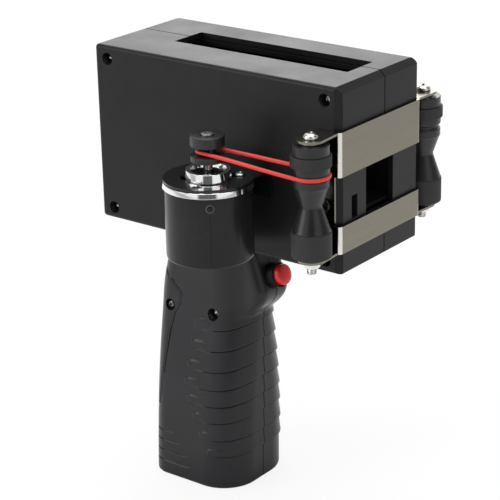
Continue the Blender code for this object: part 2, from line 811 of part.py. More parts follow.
def make_belt(finish):
    """A tube swept round the closed path, one ring of points at each path point."""
    path = [Vector(p) for p in belt_path()]
    bm = bmesh.new()
    sides = 8
    rings = []
    for i, point in enumerate(path):
        ahead = (path[(i + 1) % len(path)] - point).normalized()
        behind = (point - path[i - 1]).normalized()
        tangent = (ahead + behind).normalized()
        across = tangent.cross(Vector((0, 0, 1))).normalized()
        up = across.cross(tangent)
        ring = []
        for k in range(sides):
            turn = 2 * math.pi * k / sides
            offset = across * math.cos(turn) + up * math.sin(turn)
            ring.append(bm.verts.new(point + offset * BELT_RADIUS))
        rings.append(ring)
    for i, ring in enumerate(rings):
        following = rings[(i + 1) % len(rings)]
        for k in range(sides):
            after = (k + 1) % sides
            bm.faces.new((ring[k], ring[after], following[after], following[k]))
    return finish_mesh("drive_belt", bm, finish)


def grip_sizes(height):
    """Front, back and half width of the grip at a height, eased between the listed sections."""
    rows = GRIP_SECTIONS
    for low, high in zip(rows, rows[1:]):
        if height <= high[0]:
            share = (height - low[0]) / (high[0] - low[0])
            return [a + (b - a) * share for a, b in zip(low[1:], high[1:])]
    return list(rows[-1][1:])


def grip_outline(height, inset=0.0, corner_steps=5):
    """The grip's rounded section as (x, y) points, moved inwards by the inset."""
    front, back, half = grip_sizes(height)
    share = height / GRIP_SECTIONS[-1][0]
    front_round = GRIP_FRONT_ROUND[0] + (GRIP_FRONT_ROUND[1] - GRIP_FRONT_ROUND[0]) * share
    corners = (
        (front - front_round, half - front_round, front_round, 0),
        (back + GRIP_BACK_ROUND, half - GRIP_BACK_ROUND, GRIP_BACK_ROUND, 90),
        (back + GRIP_BACK_ROUND, GRIP_BACK_ROUND - half, GRIP_BACK_ROUND, 180),
        (front - front_round, front_round - half, front_round, 270),
    )
    points = []
    for x, y, radius, start in corners:
        for step in range(corner_steps + 1):
            angle = math.radians(start + 90 * step / corner_steps)
            reach = radius - inset
            points.append((x + reach * math.cos(angle), y + reach * math.sin(angle)))
    return points


def make_loft(name, heights, inset=0.0, base_inset=0.0):
    """A closed solid through the grip's sections at the given heights."""
    bm = bmesh.new()
    rings = []
    for i, height in enumerate(heights):
        extra = base_inset if i == 0 else 0.0
        inside = max(0.0, min(height, GRIP_SECTIONS[-1][0]))
        ring = [bm.verts.new((x, y, height)) for x, y in grip_outline(inside, inset + extra)]
        rings.append(ring)
    for lower, upper in zip(rings, rings[1:]):
        count = len(lower)
        for k in range(count):
            after = (k + 1) % count
            bm.faces.new((lower[k], lower[after], upper[after], upper[k]))
    bm.faces.new(rings[0][::-1])
    bm.faces.new(rings[-1])
    return finish_mesh(name, bm, None)


def nose_outline(inset):
    """The trigger's nose seen from the side: a sloping chin, then the tilted face that the button stands in."""
    face_x, face_z = TRIGGER_FACE
    lean = math.tan(math.radians(TRIGGER_TILT))
    foot = face_z - 7.5
    front = face_x + 7.5 * lean - inset
    top = CASE_BOTTOM - GAP
    upper_x = face_x - (top - 8 - face_z) * lean - inset
    return [
        (8.0, 80.0),
        (23.4 - inset, 82.0 + inset),
        (front - 1.4, foot - 3.0 + inset),
        (front, foot + inset * 0.5),
        (upper_x, top - 8),
        (upper_x - 0.5, top + (5 if inset else 0)),
        (8.0, top + (5 if inset else 0)),
    ]


def make_nose(name, half_width, inset, radius):
    bm = bmesh.new()
    points = [bm.verts.new((x, -half_width, z)) for x, z in nose_outline(inset)]
    face = bm.faces.new(points)
    grown = bmesh.ops.extrude_face_region(bm, geom=[face])
    moved = [v for v in grown["geom"] if isinstance(v, bmesh.types.BMVert)]
    bmesh.ops.translate(bm, vec=(0, 2 * half_width, 0), verts=moved)
    if radius:

        def flank(middle, edge):
            along = abs(edge.verts[0].co.y - edge.verts[1].co.y)
            return along < 0.01 and middle.x > 15 and middle.z < CASE_BOTTOM - 1

        round_edges(bm, flank, radius, 3)
    return finish_mesh(name, bm, None)


def trigger_place(out):
    """The point that far out of the nose's face along the button's axis, and the turn that points Z along it."""
    tilt = math.radians(TRIGGER_TILT)
    axis = Vector((math.cos(tilt), 0, math.sin(tilt)))
    face = Vector((TRIGGER_FACE[0], 0, TRIGGER_FACE[1]))
    turn = Matrix.Rotation(math.radians(90 - TRIGGER_TILT), 4, "Y")
    return tuple(face + axis * out), turn


def strap_outline(margin):
    """The back strap's edge seen from the side, with its elbow beside the screw."""
    return [
        (-40.0, 32.0 - margin),
        (-18.2 + margin, 32.0 - margin),
        (-16.4 + margin, 52.0),
        (-14.2 + margin, 71.0),
        (-10.4 + margin, 84.0),
        (-7.6 + margin, 90.4),
        (-15.6 + margin, 101.0 + margin),
        (-20.0, 106.0 + margin),
        (-40.0, 106.0 + margin),
    ]


def strap_region(name, margin):
    return make_extruded(name, strap_outline(margin), -40, 40, None)


def make_grip_half(side_name, side, finish):
    """One moulded half of the grip: the outer loft with the trigger's nose, hollowed and cut at the middle."""
    heights = [0.0, 0.8, 16.0, 32.0, 48.0, 64.0, 80.0, 95.0, 106.0, CASE_BOTTOM - GAP]
    half = make_loft(f"{side_name}_grip", heights, base_inset=0.6)
    half.data.materials.append(finish)
    join(half, make_nose(f"{side_name}_nose", 11.5, 0.0, 4.0))
    hollow = [4.0, 16.0, 32.0, 48.0, 64.0, 80.0, 95.0, 106.0, CASE_BOTTOM - 4.0]
    cut(half, make_loft(f"{side_name}_hollow", hollow, GRIP_WALL))
    nose_hollow = make_block(
        f"{side_name}_nose_hollow", (10, -8.0, 93.0), (27.2, 8.0, CASE_BOTTOM - 4.2), None
    )
    cut(half, nose_hollow)
    cut(half, *hatch_cutters(side_name), grip_bolt_hole(f"{side_name}_grip", side, 1.9))
    place, turn = trigger_place(0)
    collar_hole = cylinder_profile(COLLAR_RADIUS + GAP, -12, 12)
    cut(half, make_turned(f"{side_name}_collar_hole", collar_hole, place, None, 24, turn))
    skin = strap_region(f"{side_name}_strap_region", GAP)
    cut(skin, make_loft(f"{side_name}_strap_floor", [20.0, *hollow[3:8], 115.0], STRAP_THICK + GAP))
    cut(half, skin)
    x, z = STRAP_SCREW
    ends = sorted((side * 10, side * 30))
    cut(half, cutter_along_y(f"{side_name}_strap_bite", x, z, 1.5, *ends, 12))
    x, z = GRIP_SCREW
    wide_ends = sorted((side * 11, side * 30))
    narrow_ends = sorted((-side * 1, side * 30))
    post = make_turned(
        f"{side_name}_grip_post",
        cylinder_profile(4.6, *sorted((-side * GAP / 2, -side * 15))),
        (x, 0, z),
        None,
        16,
        ALONG_Y,
    )
    join(half, post)
    if side < 0:
        cut(half, cutter_along_y("grip_recess", x, z, 2.75, *wide_ends, 16))
        cut(half, cutter_along_y("grip_through", x, z, 1.8, *narrow_ends, 12))
    else:
        bite_ends = (-1, 12)
        cut(half, cutter_along_y("grip_bite", x, z, 1.8, *bite_ends, 12))
    low_y, high_y = sorted((-side * 60, side * GAP / 2))
    cut(half, make_block(f"{side_name}_half_cutter", (-60, low_y, -10), (60, high_y, 140), None))
    return half


def make_strap(finish):
    """The back strap: the skin of the grip inside the strap's edge."""
    strap = make_loft("back_strap", [20.0, 32.0, 48.0, 64.0, 80.0, 95.0, 106.0, 115.0])
    strap.data.materials.append(finish)
    cut(strap, make_loft("strap_inside", [10.0, 32.0, 48.0, 64.0, 80.0, 95.0, 106.0, 120.0], STRAP_THICK))
    region = strap_region("strap_keep", 0.0)
    boolean(strap, region, "INTERSECT")
    x, z = STRAP_SCREW
    cut(strap, cutter_along_y("strap_hole", x, z, 2.0, -30, 30, 16))
    return strap


def make_grip_screws(finish):
    x, z = GRIP_SCREW
    profile = pan_screw_profile(2.4, 1.8, 1.45, 20.0)
    make_turned("grip_screw", profile, (x, -11.2, z), finish, 12, ALONG_Y)
    x, z = STRAP_SCREW
    away = Matrix.Rotation(math.radians(-90), 4, "X")
    for side_name, side, turn in (("near", -1, ALONG_Y), ("far", 1, away)):
        profile = pan_screw_profile(1.7, 1.2, 1.2, 3.0)
        make_turned(f"{side_name}_strap_screw", profile, (x, side * 15.65, z), finish, 12, turn)


def make_trigger(finishes):
    place, turn = trigger_place(0)
    bore = BUTTON_RADIUS + GAP
    collar = [
        (bore, COLLAR_OUT),
        (COLLAR_RADIUS - 0.4, COLLAR_OUT),
        (COLLAR_RADIUS, COLLAR_OUT - 0.4),
        (COLLAR_RADIUS, -6.0),
        (bore, -6.0),
    ]
    make_turned("trigger_collar", collar, place, finishes["roller_plastic"], 24, turn)
    tip = COLLAR_OUT + BUTTON_OUT
    button = [
        (0.0, tip),
        (BUTTON_RADIUS - 1.2, tip),
        (BUTTON_RADIUS - 0.3, tip - 0.4),
        (BUTTON_RADIUS, tip - 1.2),
        (BUTTON_RADIUS, -2.0),
        (0.0, -2.0),
    ]
    make_turned("trigger_button", button, place, finishes["button"], 24, turn)
    switch = [(0.0, -4.2), (BUTTON_RADIUS, -4.2), (BUTTON_RADIUS, -9.0), (0.0, -9.0)]
    make_turned("trigger_switch", switch, place, finishes["case_plastic"], 16, turn)


def hatch_cutters(tag):
    """The recess that the hatch lies in, and the opening behind it that the cells pass through."""
    low_x, low_y = HATCH_LOW
    high_x, high_y = HATCH_HIGH
    recess = make_block(
        f"{tag}_hatch_recess",
        (low_x - GAP, low_y - GAP, -5),
        (high_x + GAP, high_y + GAP, HATCH_THICK + GAP),
        None,
    )
    opening = make_block(
        f"{tag}_cell_opening", (low_x + 2, low_y + 2, -6), (high_x - 2, high_y - 2, 6), None
    )
    return recess, opening


def make_hatch(finishes):
    make_block(
        "battery_hatch", (*HATCH_LOW, 0.0), (*HATCH_HIGH, HATCH_THICK), finishes["grip_plastic"], 0.4, 1
    )
    make_block(
        "cell_contacts",
        (HATCH_LOW[0] + 4, -5.0, HATCH_THICK + GAP),
        (HATCH_HIGH[0] - 4, 5.0, CELL_BASE - GAP),
        finishes["brass"],
    )


def make_grip_bolts(finish):
    seat = CASE_BOTTOM + CASE_WALL + GAP
    profile = pan_screw_profile(3.2, 2.2, 1.6, seat - CASE_BOTTOM + 3.5)
    for i, side in enumerate((-1, 1), 1):
        place = (GRIP_BOLT_X, side * GRIP_BOLT_Y, seat)
        make_turned(f"grip_bolt_{i}", profile, place, finish, 12)


def make_cells(finish):
    for i, side in enumerate((-1, 1), 1):
        profile = [
            (0.0, CELL_BASE + CELL_HEIGHT),
            (CELL_RADIUS - 0.8, CELL_BASE + CELL_HEIGHT),
            (CELL_RADIUS, CELL_BASE + CELL_HEIGHT - 0.8),
            (CELL_RADIUS, CELL_BASE + 0.4),
            (CELL_RADIUS - 0.4, CELL_BASE),
            (0.0, CELL_BASE),
        ]
        x = 0.6 + side * (CELL_RADIUS + 0.2)
        make_turned(f"battery_cell_{i}", profile, (x, 0, 0), finish, 24)


def make_end_controls(finishes):
    """On the case's back end: a power button in its ring, a round charge socket and a small data socket."""
    y, z = POWER_BUTTON
    place = (CASE_BACK, y, z)
    ring = [(4.3, 1.2), (6.6, 1.2), (6.9, 0.9), (6.9, GAP), (5.6, GAP), (5.6, -5.0), (4.3, -5.0)]
    make_turned("power_ring", ring, place, finishes["zinc"], 24, BACKWARDS)
    cap = [(0.0, 1.9), (3.6, 1.9), (4.0, 1.6), (4.0, -2.0), (0.0, -2.0)]
    make_turned("power_button", cap, place, finishes["roller_plastic"], 24, BACKWARDS)
    y, z = CHARGE_SOCKET
    place = (CASE_BACK, y, z)
    socket = [
        (3.3, 0.8),
        (5.0, 0.8),
        (5.2, 0.6),
        (5.2, GAP),
        (4.2, GAP),
        (4.2, -9.0),
        (0.0, -9.0),
        (0.0, -7.5),
        (3.3, -7.5),
    ]
    make_turned("charge_socket", socket, place, finishes["roller_plastic"], 16, BACKWARDS)
    make_usb_socket(finishes["steel"])


def end_hole_cutters():
    """The holes in the case's back end that the controls sit in."""
    cutters = []
    for name, (y, z), radius in (
        ("power", POWER_BUTTON, 5.6 + GAP),
        ("charge", CHARGE_SOCKET, 4.2 + GAP),
    ):
        hole = cylinder_profile(radius, -6, 6)
        cutters.append(make_turned(f"{name}_hole", hole, (CASE_BACK, y, z), None, 16, BACKWARDS))
    y, z = USB_SOCKET
    low = (CASE_BACK - 5, y - USB_HALF[0] - GAP, z - USB_HALF[1] - GAP)
    high = (CASE_BACK + 5, y + USB_HALF[0] + GAP, z + USB_HALF[1] + GAP)
    cutters.append(make_block("usb_hole", low, high, None))
    return cutters


def make_usb_socket(finish):
    """A steel box, open towards the back, with the contact tongue on its inner wall."""
    y, z = USB_SOCKET
    half_y, half_z = USB_HALF
    outside = CASE_BACK - 0.2
    inner_end = CASE_BACK + 10.5
    socket = make_block(
        "usb_socket", (outside, y - half_y, z - half_z), (inner_end, y + half_y, z + half_z), finish
    )
    hollow = make_block(
        "usb_hollow",
        (outside - 5, y - half_y + 0.6, z - half_z + 0.6),
        (inner_end - 1.5, y + half_y - 0.6, z + half_z - 0.6),
        None,
    )
    tongue = make_block(
        "usb_tongue", (outside + 1.5, y - 5.0, z + 0.2), (inner_end - 1, y + 5.0, z + 1.6), None
    )
    cut(socket, hollow)
    join(socket, tongue)


def main():
    clear_scene()
    finishes = make_finishes()
    make_near_shell(finishes["case_plastic"])
    make_screen_shell(finishes["case_plastic"])
    make_case_screws(finishes["zinc"])
    make_case_insides(finishes)
    make_end_controls(finishes)
    make_guide_bracket(finishes["steel"])
    make_bracket_screws(finishes["zinc"])
    make_roller("near", -1, finishes)
    make_roller("far", 1, finishes)
    make_encoder(finishes)
    make_belt(finishes["belt"])
    make_grip_half("near", -1, finishes["grip_plastic"])
    make_grip_half("far", 1, finishes["grip_plastic"])
    make_strap(finishes["grip_plastic"])
    make_grip_screws(finishes["brass"])
    make_trigger(finishes)
    make_cells(finishes["cell"])
    make_hatch(finishes)
    make_grip_bolts(finishes["zinc"])


main()
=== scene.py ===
# %% [markdown]
# # A handheld inkjet date printer
# The object is a boxy print head on a pistol grip. Two waisted rollers run along the carton, and the near one
# turns an encoder through a red belt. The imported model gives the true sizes, and this lesson gives each piece
# its surface. Lengths are written in millimetres, as on a drawing, and `MM` turns them into Blender's metres.

# %% Load the model
import json
import math

import bmesh
import bpy
import numpy as np
from mathutils import Matrix, Vector


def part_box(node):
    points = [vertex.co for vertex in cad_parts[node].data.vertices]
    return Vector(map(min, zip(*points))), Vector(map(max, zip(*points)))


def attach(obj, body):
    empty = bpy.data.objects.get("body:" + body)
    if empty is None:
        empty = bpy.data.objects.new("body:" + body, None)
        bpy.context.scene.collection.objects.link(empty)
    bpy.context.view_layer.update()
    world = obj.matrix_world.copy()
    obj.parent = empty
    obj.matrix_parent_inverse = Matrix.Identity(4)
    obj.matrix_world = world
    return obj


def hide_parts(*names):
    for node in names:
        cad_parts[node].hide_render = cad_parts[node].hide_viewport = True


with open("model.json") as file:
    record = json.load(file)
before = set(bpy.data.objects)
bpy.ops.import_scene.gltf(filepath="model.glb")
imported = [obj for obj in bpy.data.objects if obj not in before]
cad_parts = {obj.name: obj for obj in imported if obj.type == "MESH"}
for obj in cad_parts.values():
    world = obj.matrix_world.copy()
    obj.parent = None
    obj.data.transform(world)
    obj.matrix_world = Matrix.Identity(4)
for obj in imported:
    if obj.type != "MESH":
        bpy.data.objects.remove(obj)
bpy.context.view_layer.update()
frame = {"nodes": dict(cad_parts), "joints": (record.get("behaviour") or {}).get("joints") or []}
MM = 0.001
NODES = frame["nodes"]


# %% [markdown]
# Every place comes from the model, so a helper reads a node's box in millimetres and another reads a joint's
# axis.

# %% Read places from the model
def box_mm(node):
    """A node's lowest and highest corners in millimetres."""
    low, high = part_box(node)
    return low / MM, high / MM


def middle_mm(node):
    """The middle of a node's box in millimetres."""
    low, high = box_mm(node)
    return (low + high) / 2


def joint_place(name):
    """A point on a joint's axis, in millimetres."""
    joint = next(j for j in frame["joints"] if j["name"] == name)
    return Vector(joint["pos_m"]) / MM


CASE_LOW = Vector(map(min, *(box_mm(n)[0] for n in ("near_shell", "screen_shell"))))
CASE_HIGH = Vector(map(max, *(box_mm(n)[1] for n in ("near_shell", "screen_shell"))))
NEAR_AXLE = joint_place("near_roller_spin")
FAR_AXLE = joint_place("far_roller_spin")
ENCODER = joint_place("encoder_spin")
print("case", tuple(round(v, 1) for v in CASE_HIGH - CASE_LOW), "encoder axis", tuple(ENCODER))


# %% [markdown]
# ## The camera
# The camera stands a little above the printer, to its front left, and is rolled by about a degree. Its matrix
# holds the picture's right, up and backward directions as columns. A long lens keeps the case's edges nearly
# parallel.

# %% Set the camera
CAMERA_PLACE = Vector((492.3, -607.3, 407.9))
CAMERA_TURN = 37.927  # degrees round the object, from its flank towards its front
CAMERA_RISE = 20.997
CAMERA_ROLL = -1.255
LENS = 132.6


def set_camera():
    turn, rise, roll = (math.radians(a) for a in (CAMERA_TURN, CAMERA_RISE, CAMERA_ROLL))
    back = Vector((math.sin(turn) * math.cos(rise), -math.cos(turn) * math.cos(rise), math.sin(rise)))
    level = Vector((math.cos(turn), math.sin(turn), 0))
    above = back.cross(level)
    right = level * math.cos(roll) + above * math.sin(roll)
    up = above * math.cos(roll) - level * math.sin(roll)
    camera = bpy.data.objects.new("camera", bpy.data.cameras.new("camera"))
    camera.data.lens = LENS
    camera.data.clip_end = 20
    axes = Matrix((right, up, back)).transposed().to_4x4()
    camera.matrix_world = Matrix.Translation(CAMERA_PLACE * MM) @ axes
    bpy.context.scene.collection.objects.link(camera)
    bpy.context.scene.camera = camera
    print("camera", tuple(round(v) for v in CAMERA_PLACE), "mm")


set_camera()


# %% [markdown]
# ## Light and floor
# The studio is a white room with a large soft light overhead, one from the front left, and one low behind the
# printer that lays a sheen on its top. Bright metal needs something dark to reflect as well, so the room's
# walls fade to grey in a few upright stretches, which only reflections see. A small helper makes each shader
# node and fills or wires its inputs.

# %% Make shader nodes
def add_node(tree, kind, inputs=None, **settings):
    """One shader node. Each input takes a number, a colour or another node's socket."""
    node = tree.nodes.new(f"ShaderNode{kind}")
    for title, value in settings.items():
        setattr(node, title, value)
    for title, value in (inputs or {}).items():
        if isinstance(value, bpy.types.NodeSocket):
            tree.links.new(value, node.inputs[title])
        else:
            node.inputs[title].default_value = value
    return node


def mix_shaders(tree, share, first, second):
    return add_node(tree, "MixShader", {0: share, 1: first, 2: second}).outputs[0]


def grey(level):
    return (level, level, level)


# %% Build the studio
WHITE = (1, 1, 1, 1)
WALL_STOPS = ((0.0, 0.5), (0.09, 0.15), (0.13, 1.0), (0.275, 1.0), (0.295, 0.12), (0.4, 0.12), (0.42, 1.0))
WALL_STOPS += ((0.52, 1.0), (0.545, 0.12), (0.64, 0.2), (0.75, 0.9), (0.9, 0.7), (1.0, 0.5))
FLOOR_GLOW = 0.86  # how much of the floor's look is plain white


def add_light(name, place, target, size, power):
    """A soft rectangular light that the camera doesn't see."""
    light = bpy.data.lights.new(name, "AREA")
    light.shape = "RECTANGLE"
    light.size, light.size_y = size
    light.energy = power
    lamp = bpy.data.objects.new(name, light)
    lamp.location = place
    lamp.rotation_euler = (Vector(target) - Vector(place)).to_track_quat("-Z", "Y").to_euler()
    lamp.visible_camera = False
    bpy.context.scene.collection.objects.link(lamp)


def make_room():
    """A plain white world. Reflections see dark upright flags in it, and the camera sees pure white."""
    world = bpy.data.worlds.new("studio")
    bpy.context.scene.world = world
    world.use_nodes = True
    tree = world.node_tree
    tree.nodes.clear()
    direction = add_node(tree, "TexCoord").outputs["Generated"]
    split = add_node(tree, "SeparateXYZ", {0: direction}).outputs
    angle = add_node(tree, "Math", {0: split["Y"], 1: split["X"]}, operation="ARCTAN2").outputs[0]
    turn = add_node(tree, "MapRange", {"Value": angle, "From Min": -math.pi, "From Max": math.pi})
    flags = add_node(tree, "ValToRGB", {0: turn.outputs[0]})
    ramp = flags.color_ramp
    while len(ramp.elements) < len(WALL_STOPS):
        ramp.elements.new(0.5)
    for element, (place, grey_level) in zip(ramp.elements, WALL_STOPS):
        element.position = place
        element.color = (*grey(grey_level), 1)
    rays = add_node(tree, "LightPath").outputs
    plain = add_node(tree, "Background", {"Color": WHITE, "Strength": 0.55}).outputs[0]
    seen = add_node(tree, "Background", {"Color": WHITE}).outputs[0]
    mirrored = add_node(tree, "Background", {"Color": flags.outputs["Color"]}).outputs[0]
    bounced = mix_shaders(tree, rays["Is Glossy Ray"], plain, mirrored)
    shown = mix_shaders(tree, rays["Is Camera Ray"], bounced, seen)
    add_node(tree, "OutputWorld", {"Surface": shown})


def make_floor():
    """A pale floor, lifted for the camera so that it meets the white behind it and keeps a soft shadow."""
    material = bpy.data.materials.new("studio_floor")
    material.use_nodes = True
    tree = material.node_tree
    shader = tree.nodes["Principled BSDF"]
    shader.inputs["Base Color"].default_value = (*grey(0.88), 1)
    shader.inputs["Roughness"].default_value = 0.9
    shader.inputs["Specular IOR Level"].default_value = 0.1
    glow = add_node(tree, "Emission", {"Strength": 1.0}).outputs[0]
    seen = add_node(tree, "LightPath").outputs["Is Camera Ray"]
    share = add_node(tree, "Math", {0: seen, 1: FLOOR_GLOW}, operation="MULTIPLY").outputs[0]
    mix = mix_shaders(tree, share, shader.outputs[0], glow)
    tree.links.new(mix, tree.nodes["Material Output"].inputs["Surface"])
    bpy.ops.mesh.primitive_plane_add(size=12, location=(0, 0, -0.0002))
    floor = bpy.context.object
    floor.name = "studio_floor"
    floor.data.materials.append(material)


bpy.context.scene.view_settings.view_transform = "Standard"
make_room()
make_floor()
add_light("overhead_light", (0.1, -0.1, 1.5), (0, 0, 0.1), (1.4, 1.4), 14)
add_light("left_light", (-0.9, -1.3, 0.9), (0, 0, 0.12), (0.8, 1.0), 9)
add_light("back_light", (-1.1, 1.5, 1.0), (0.02, 0, 0.2), (2.2, 1.0), 20)
print("studio ready")


# %% [markdown]
# ## Surface effects
# Nearly every part of this printer is black, so the finishes differ by grain and gloss rather than by colour.
# Four effects are shared as node groups. A moulded skin has fine spark-eroded grain and faint handling marks,
# brushed metal has long scratches along one axis, and lathe-cut metal has rings round its own axis. The fourth
# finds a folded sheet's rounded bends, where a highlight is painted, and its flanks, where shade is painted.

# %% Build the shared effects
def new_group(name, inputs, outputs):
    """A node group with number sockets. It returns the group with its input and output nodes."""
    group = bpy.data.node_groups.new(name, "ShaderNodeTree")
    for title, value in inputs:
        socket = group.interface.new_socket(title, in_out="INPUT", socket_type="NodeSocketFloat")
        socket.default_value = value
    for title in outputs:
        group.interface.new_socket(title, in_out="OUTPUT", socket_type="NodeSocketFloat")
    return group, group.nodes.new("NodeGroupInput"), group.nodes.new("NodeGroupOutput")


def add_noise(group, scale, detail, coords):
    inputs = {"Scale": scale, "Detail": detail, "Vector": coords}
    return add_node(group, "TexNoise", inputs).outputs["Fac"]


def add_range(group, value, low, high):
    """Stretches the values from low to high over 0 to 1."""
    inputs = {"From Min": low, "From Max": high, "Value": value}
    return add_node(group, "MapRange", inputs).outputs["Result"]


def add_maths(group, operation, first, second=0.0):
    return add_node(group, "Math", {0: first, 1: second}, operation=operation).outputs[0]


def object_place(group):
    return add_node(group, "TexCoord").outputs["Object"]


def make_moulded_skin():
    group, entry, result = new_group("moulded_skin", (("Grain Scale", 4500),), ("Height", "Marks"))
    coords = object_place(group)
    grain = add_noise(group, entry.outputs["Grain Scale"], 3, coords)
    marks = add_noise(group, 45, 4, coords)
    group.links.new(grain, result.inputs["Height"])
    group.links.new(add_range(group, marks, 0.35, 0.68), result.inputs["Marks"])
    return group


def make_brushed_lines():
    group, entry, result = new_group(
        "brushed_lines", (("Across X", 60), ("Across Y", 60), ("Across Z", 6000)), ("Height", "Streaks")
    )
    sizes = {axis: entry.outputs[f"Across {axis}"] for axis in "XYZ"}
    stretch = add_node(group, "CombineXYZ", sizes).outputs[0]
    scaled = add_node(group, "VectorMath", {0: object_place(group), 1: stretch}, operation="MULTIPLY")
    fine = add_noise(group, 1.0, 4, scaled.outputs[0])
    broad = add_noise(group, 0.22, 2, scaled.outputs[0])
    mixed = add_maths(group, "ADD", add_maths(group, "MULTIPLY", fine, 0.6), broad)
    group.links.new(fine, result.inputs["Height"])
    group.links.new(add_range(group, mixed, 0.55, 1.05), result.inputs["Streaks"])
    return group


def make_lathe_rings():
    """Rings round an upright axis at (Centre X, Centre Y), in metres."""
    group, entry, result = new_group(
        "lathe_rings", (("Centre X", 0.0), ("Centre Y", 0.0), ("Pitch Scale", 9000)), ("Height", "Rings")
    )
    split = add_node(group, "SeparateXYZ", {0: object_place(group)}).outputs
    squares = []
    for axis in "XY":
        offset = add_maths(group, "SUBTRACT", split[axis], entry.outputs[f"Centre {axis}"])
        squares.append(add_maths(group, "POWER", offset, 2.0))
    reach = add_maths(group, "SQRT", add_maths(group, "ADD", *squares))
    pitch = entry.outputs["Pitch Scale"]
    outward = add_maths(group, "MULTIPLY", reach, pitch)
    upward = add_maths(group, "MULTIPLY", split["Z"], pitch)
    place = add_node(group, "CombineXYZ", {"X": outward, "Y": upward}).outputs[0]
    rings = add_noise(group, 1.0, 2, place)
    group.links.new(rings, result.inputs["Height"])
    group.links.new(add_range(group, rings, 0.3, 0.7), result.inputs["Rings"])
    return group


def make_painted_bend_highlight_and_flank_shade():
    """Masks for painted light on a folded sheet: highlight on its bends, shade on its flanks. They stop away
    from y = 0.
    """
    group, entry, result = new_group("painted_bend_highlight_and_flank_shade", (("Flank Reach", 0.1),), ("Painted Bend Highlight", "Painted Flank Shade"))
    coords = add_node(group, "TexCoord").outputs
    facing = add_node(group, "SeparateXYZ", {0: coords["Normal"]}).outputs
    place = add_node(group, "SeparateXYZ", {0: coords["Object"]}).outputs
    sideways = add_maths(group, "ABSOLUTE", facing["Y"])
    distance = add_maths(group, "ABSOLUTE", place["Y"])
    on_sheet = add_maths(group, "LESS_THAN", distance, entry.outputs["Flank Reach"])
    corner = add_range(group, add_maths(group, "MULTIPLY", facing["X"], sideways), 0.12, 0.3)
    flank = add_range(group, sideways, 0.9, 0.99)
    group.links.new(add_maths(group, "MULTIPLY", corner, on_sheet), result.inputs["Painted Bend Highlight"])
    group.links.new(add_maths(group, "MULTIPLY", flank, on_sheet), result.inputs["Painted Flank Shade"])
    return group


MOULDED_SKIN = make_moulded_skin()
BRUSHED_LINES = make_brushed_lines()
LATHE_RINGS = make_lathe_rings()
PAINTED_BEND_HIGHLIGHT_AND_FLANK_SHADE = make_painted_bend_highlight_and_flank_shade()
print("effects", [g.name for g in bpy.data.node_groups])


# %% [markdown]
# ## Finishes
# Each finish is one Principled shader. An effect's mask mixes two close colours and moves the roughness
# between two values, and its height feeds a Bump node. The distances are in metres, so a bump of 0.00002 is a
# fiftieth of a millimetre deep.

# %% Define how a finish is made
def make_finish(name, colours, roughness, metallic, effect, mask, bump, values=None, shine=0.5):
    """A material from an effect group. The mask blends the two colours and the two roughness values."""
    material = bpy.data.materials.new(name)
    material.use_nodes = True
    tree = material.node_tree
    shader = tree.nodes["Principled BSDF"]
    shader.inputs["Metallic"].default_value = metallic
    shader.inputs["Specular IOR Level"].default_value = shine
    made = add_node(tree, "Group", values, node_tree=effect).outputs
    share = made[mask]
    blend = blend_colours(tree, share, (*colours[0], 1), (*colours[1], 1))
    tree.links.new(blend, shader.inputs["Base Color"])
    rough = add_node(tree, "MapRange", {"To Min": roughness[0], "To Max": roughness[1], "Value": share})
    tree.links.new(rough.outputs["Result"], shader.inputs["Roughness"])
    dent = add_node(tree, "Bump", {"Distance": bump, "Strength": 0.6, "Height": made["Height"]})
    tree.links.new(dent.outputs["Normal"], shader.inputs["Normal"])
    return material


def blend_colours(tree, share, first, second):
    inputs = {"A": first, "B": second, "Factor": share}
    return add_node(tree, "Mix", inputs, data_type="RGBA").outputs["Result"]


def plastic(name, dark, light, roughness, grain=4500, bump=0.00002, shine=0.5):
    values = {"Grain Scale": grain}
    return make_finish(name, (dark, light), roughness, 0.0, MOULDED_SKIN, "Marks", bump, values, shine)


def lathe_metal(name, dark, light, roughness, place):
    values = {"Centre X": place.x * MM, "Centre Y": place.y * MM}
    return make_finish(name, (dark, light), roughness, 1.0, LATHE_RINGS, "Rings", 0.000003, values)


def tint(material, mask, colour):
    """Lays one more colour over a finish where a mask is white."""
    tree = material.node_tree
    base = tree.nodes["Principled BSDF"].inputs["Base Color"]
    under = base.links[0].from_socket
    tree.links.new(blend_colours(tree, mask, under, (*colour, 1)), base)


# %% [markdown]
# The case and grip are black ABS with a satin grain. The grip's batch is a touch cooler and smoother. The
# guide bracket is stainless sheet, brushed along its width, with a painted highlight on its bends and painted
# shade on its flanks. The encoder's flange is turned aluminium, and its can is black anodised. The belt is a
# moulded red urethane cord.

# %% Make the finishes
CASE_PLASTIC = plastic(
    "case_plastic_skin", (0.008, 0.008, 0.0085), (0.012, 0.012, 0.0122), (0.36, 0.44), shine=0.2
)
GRIP_PLASTIC = plastic(
    "grip_plastic_skin", (0.010, 0.010, 0.012), (0.014, 0.014, 0.0165), (0.27, 0.35), 3500, shine=0.32
)
ROLLER_PLASTIC = plastic("roller_plastic_skin", grey(0.010), grey(0.016), (0.26, 0.36), 5200, shine=0.4)
RING_RUBBER = plastic("ring_rubber_skin", grey(0.010), grey(0.020), (0.6, 0.8), 2600, 0.00004)
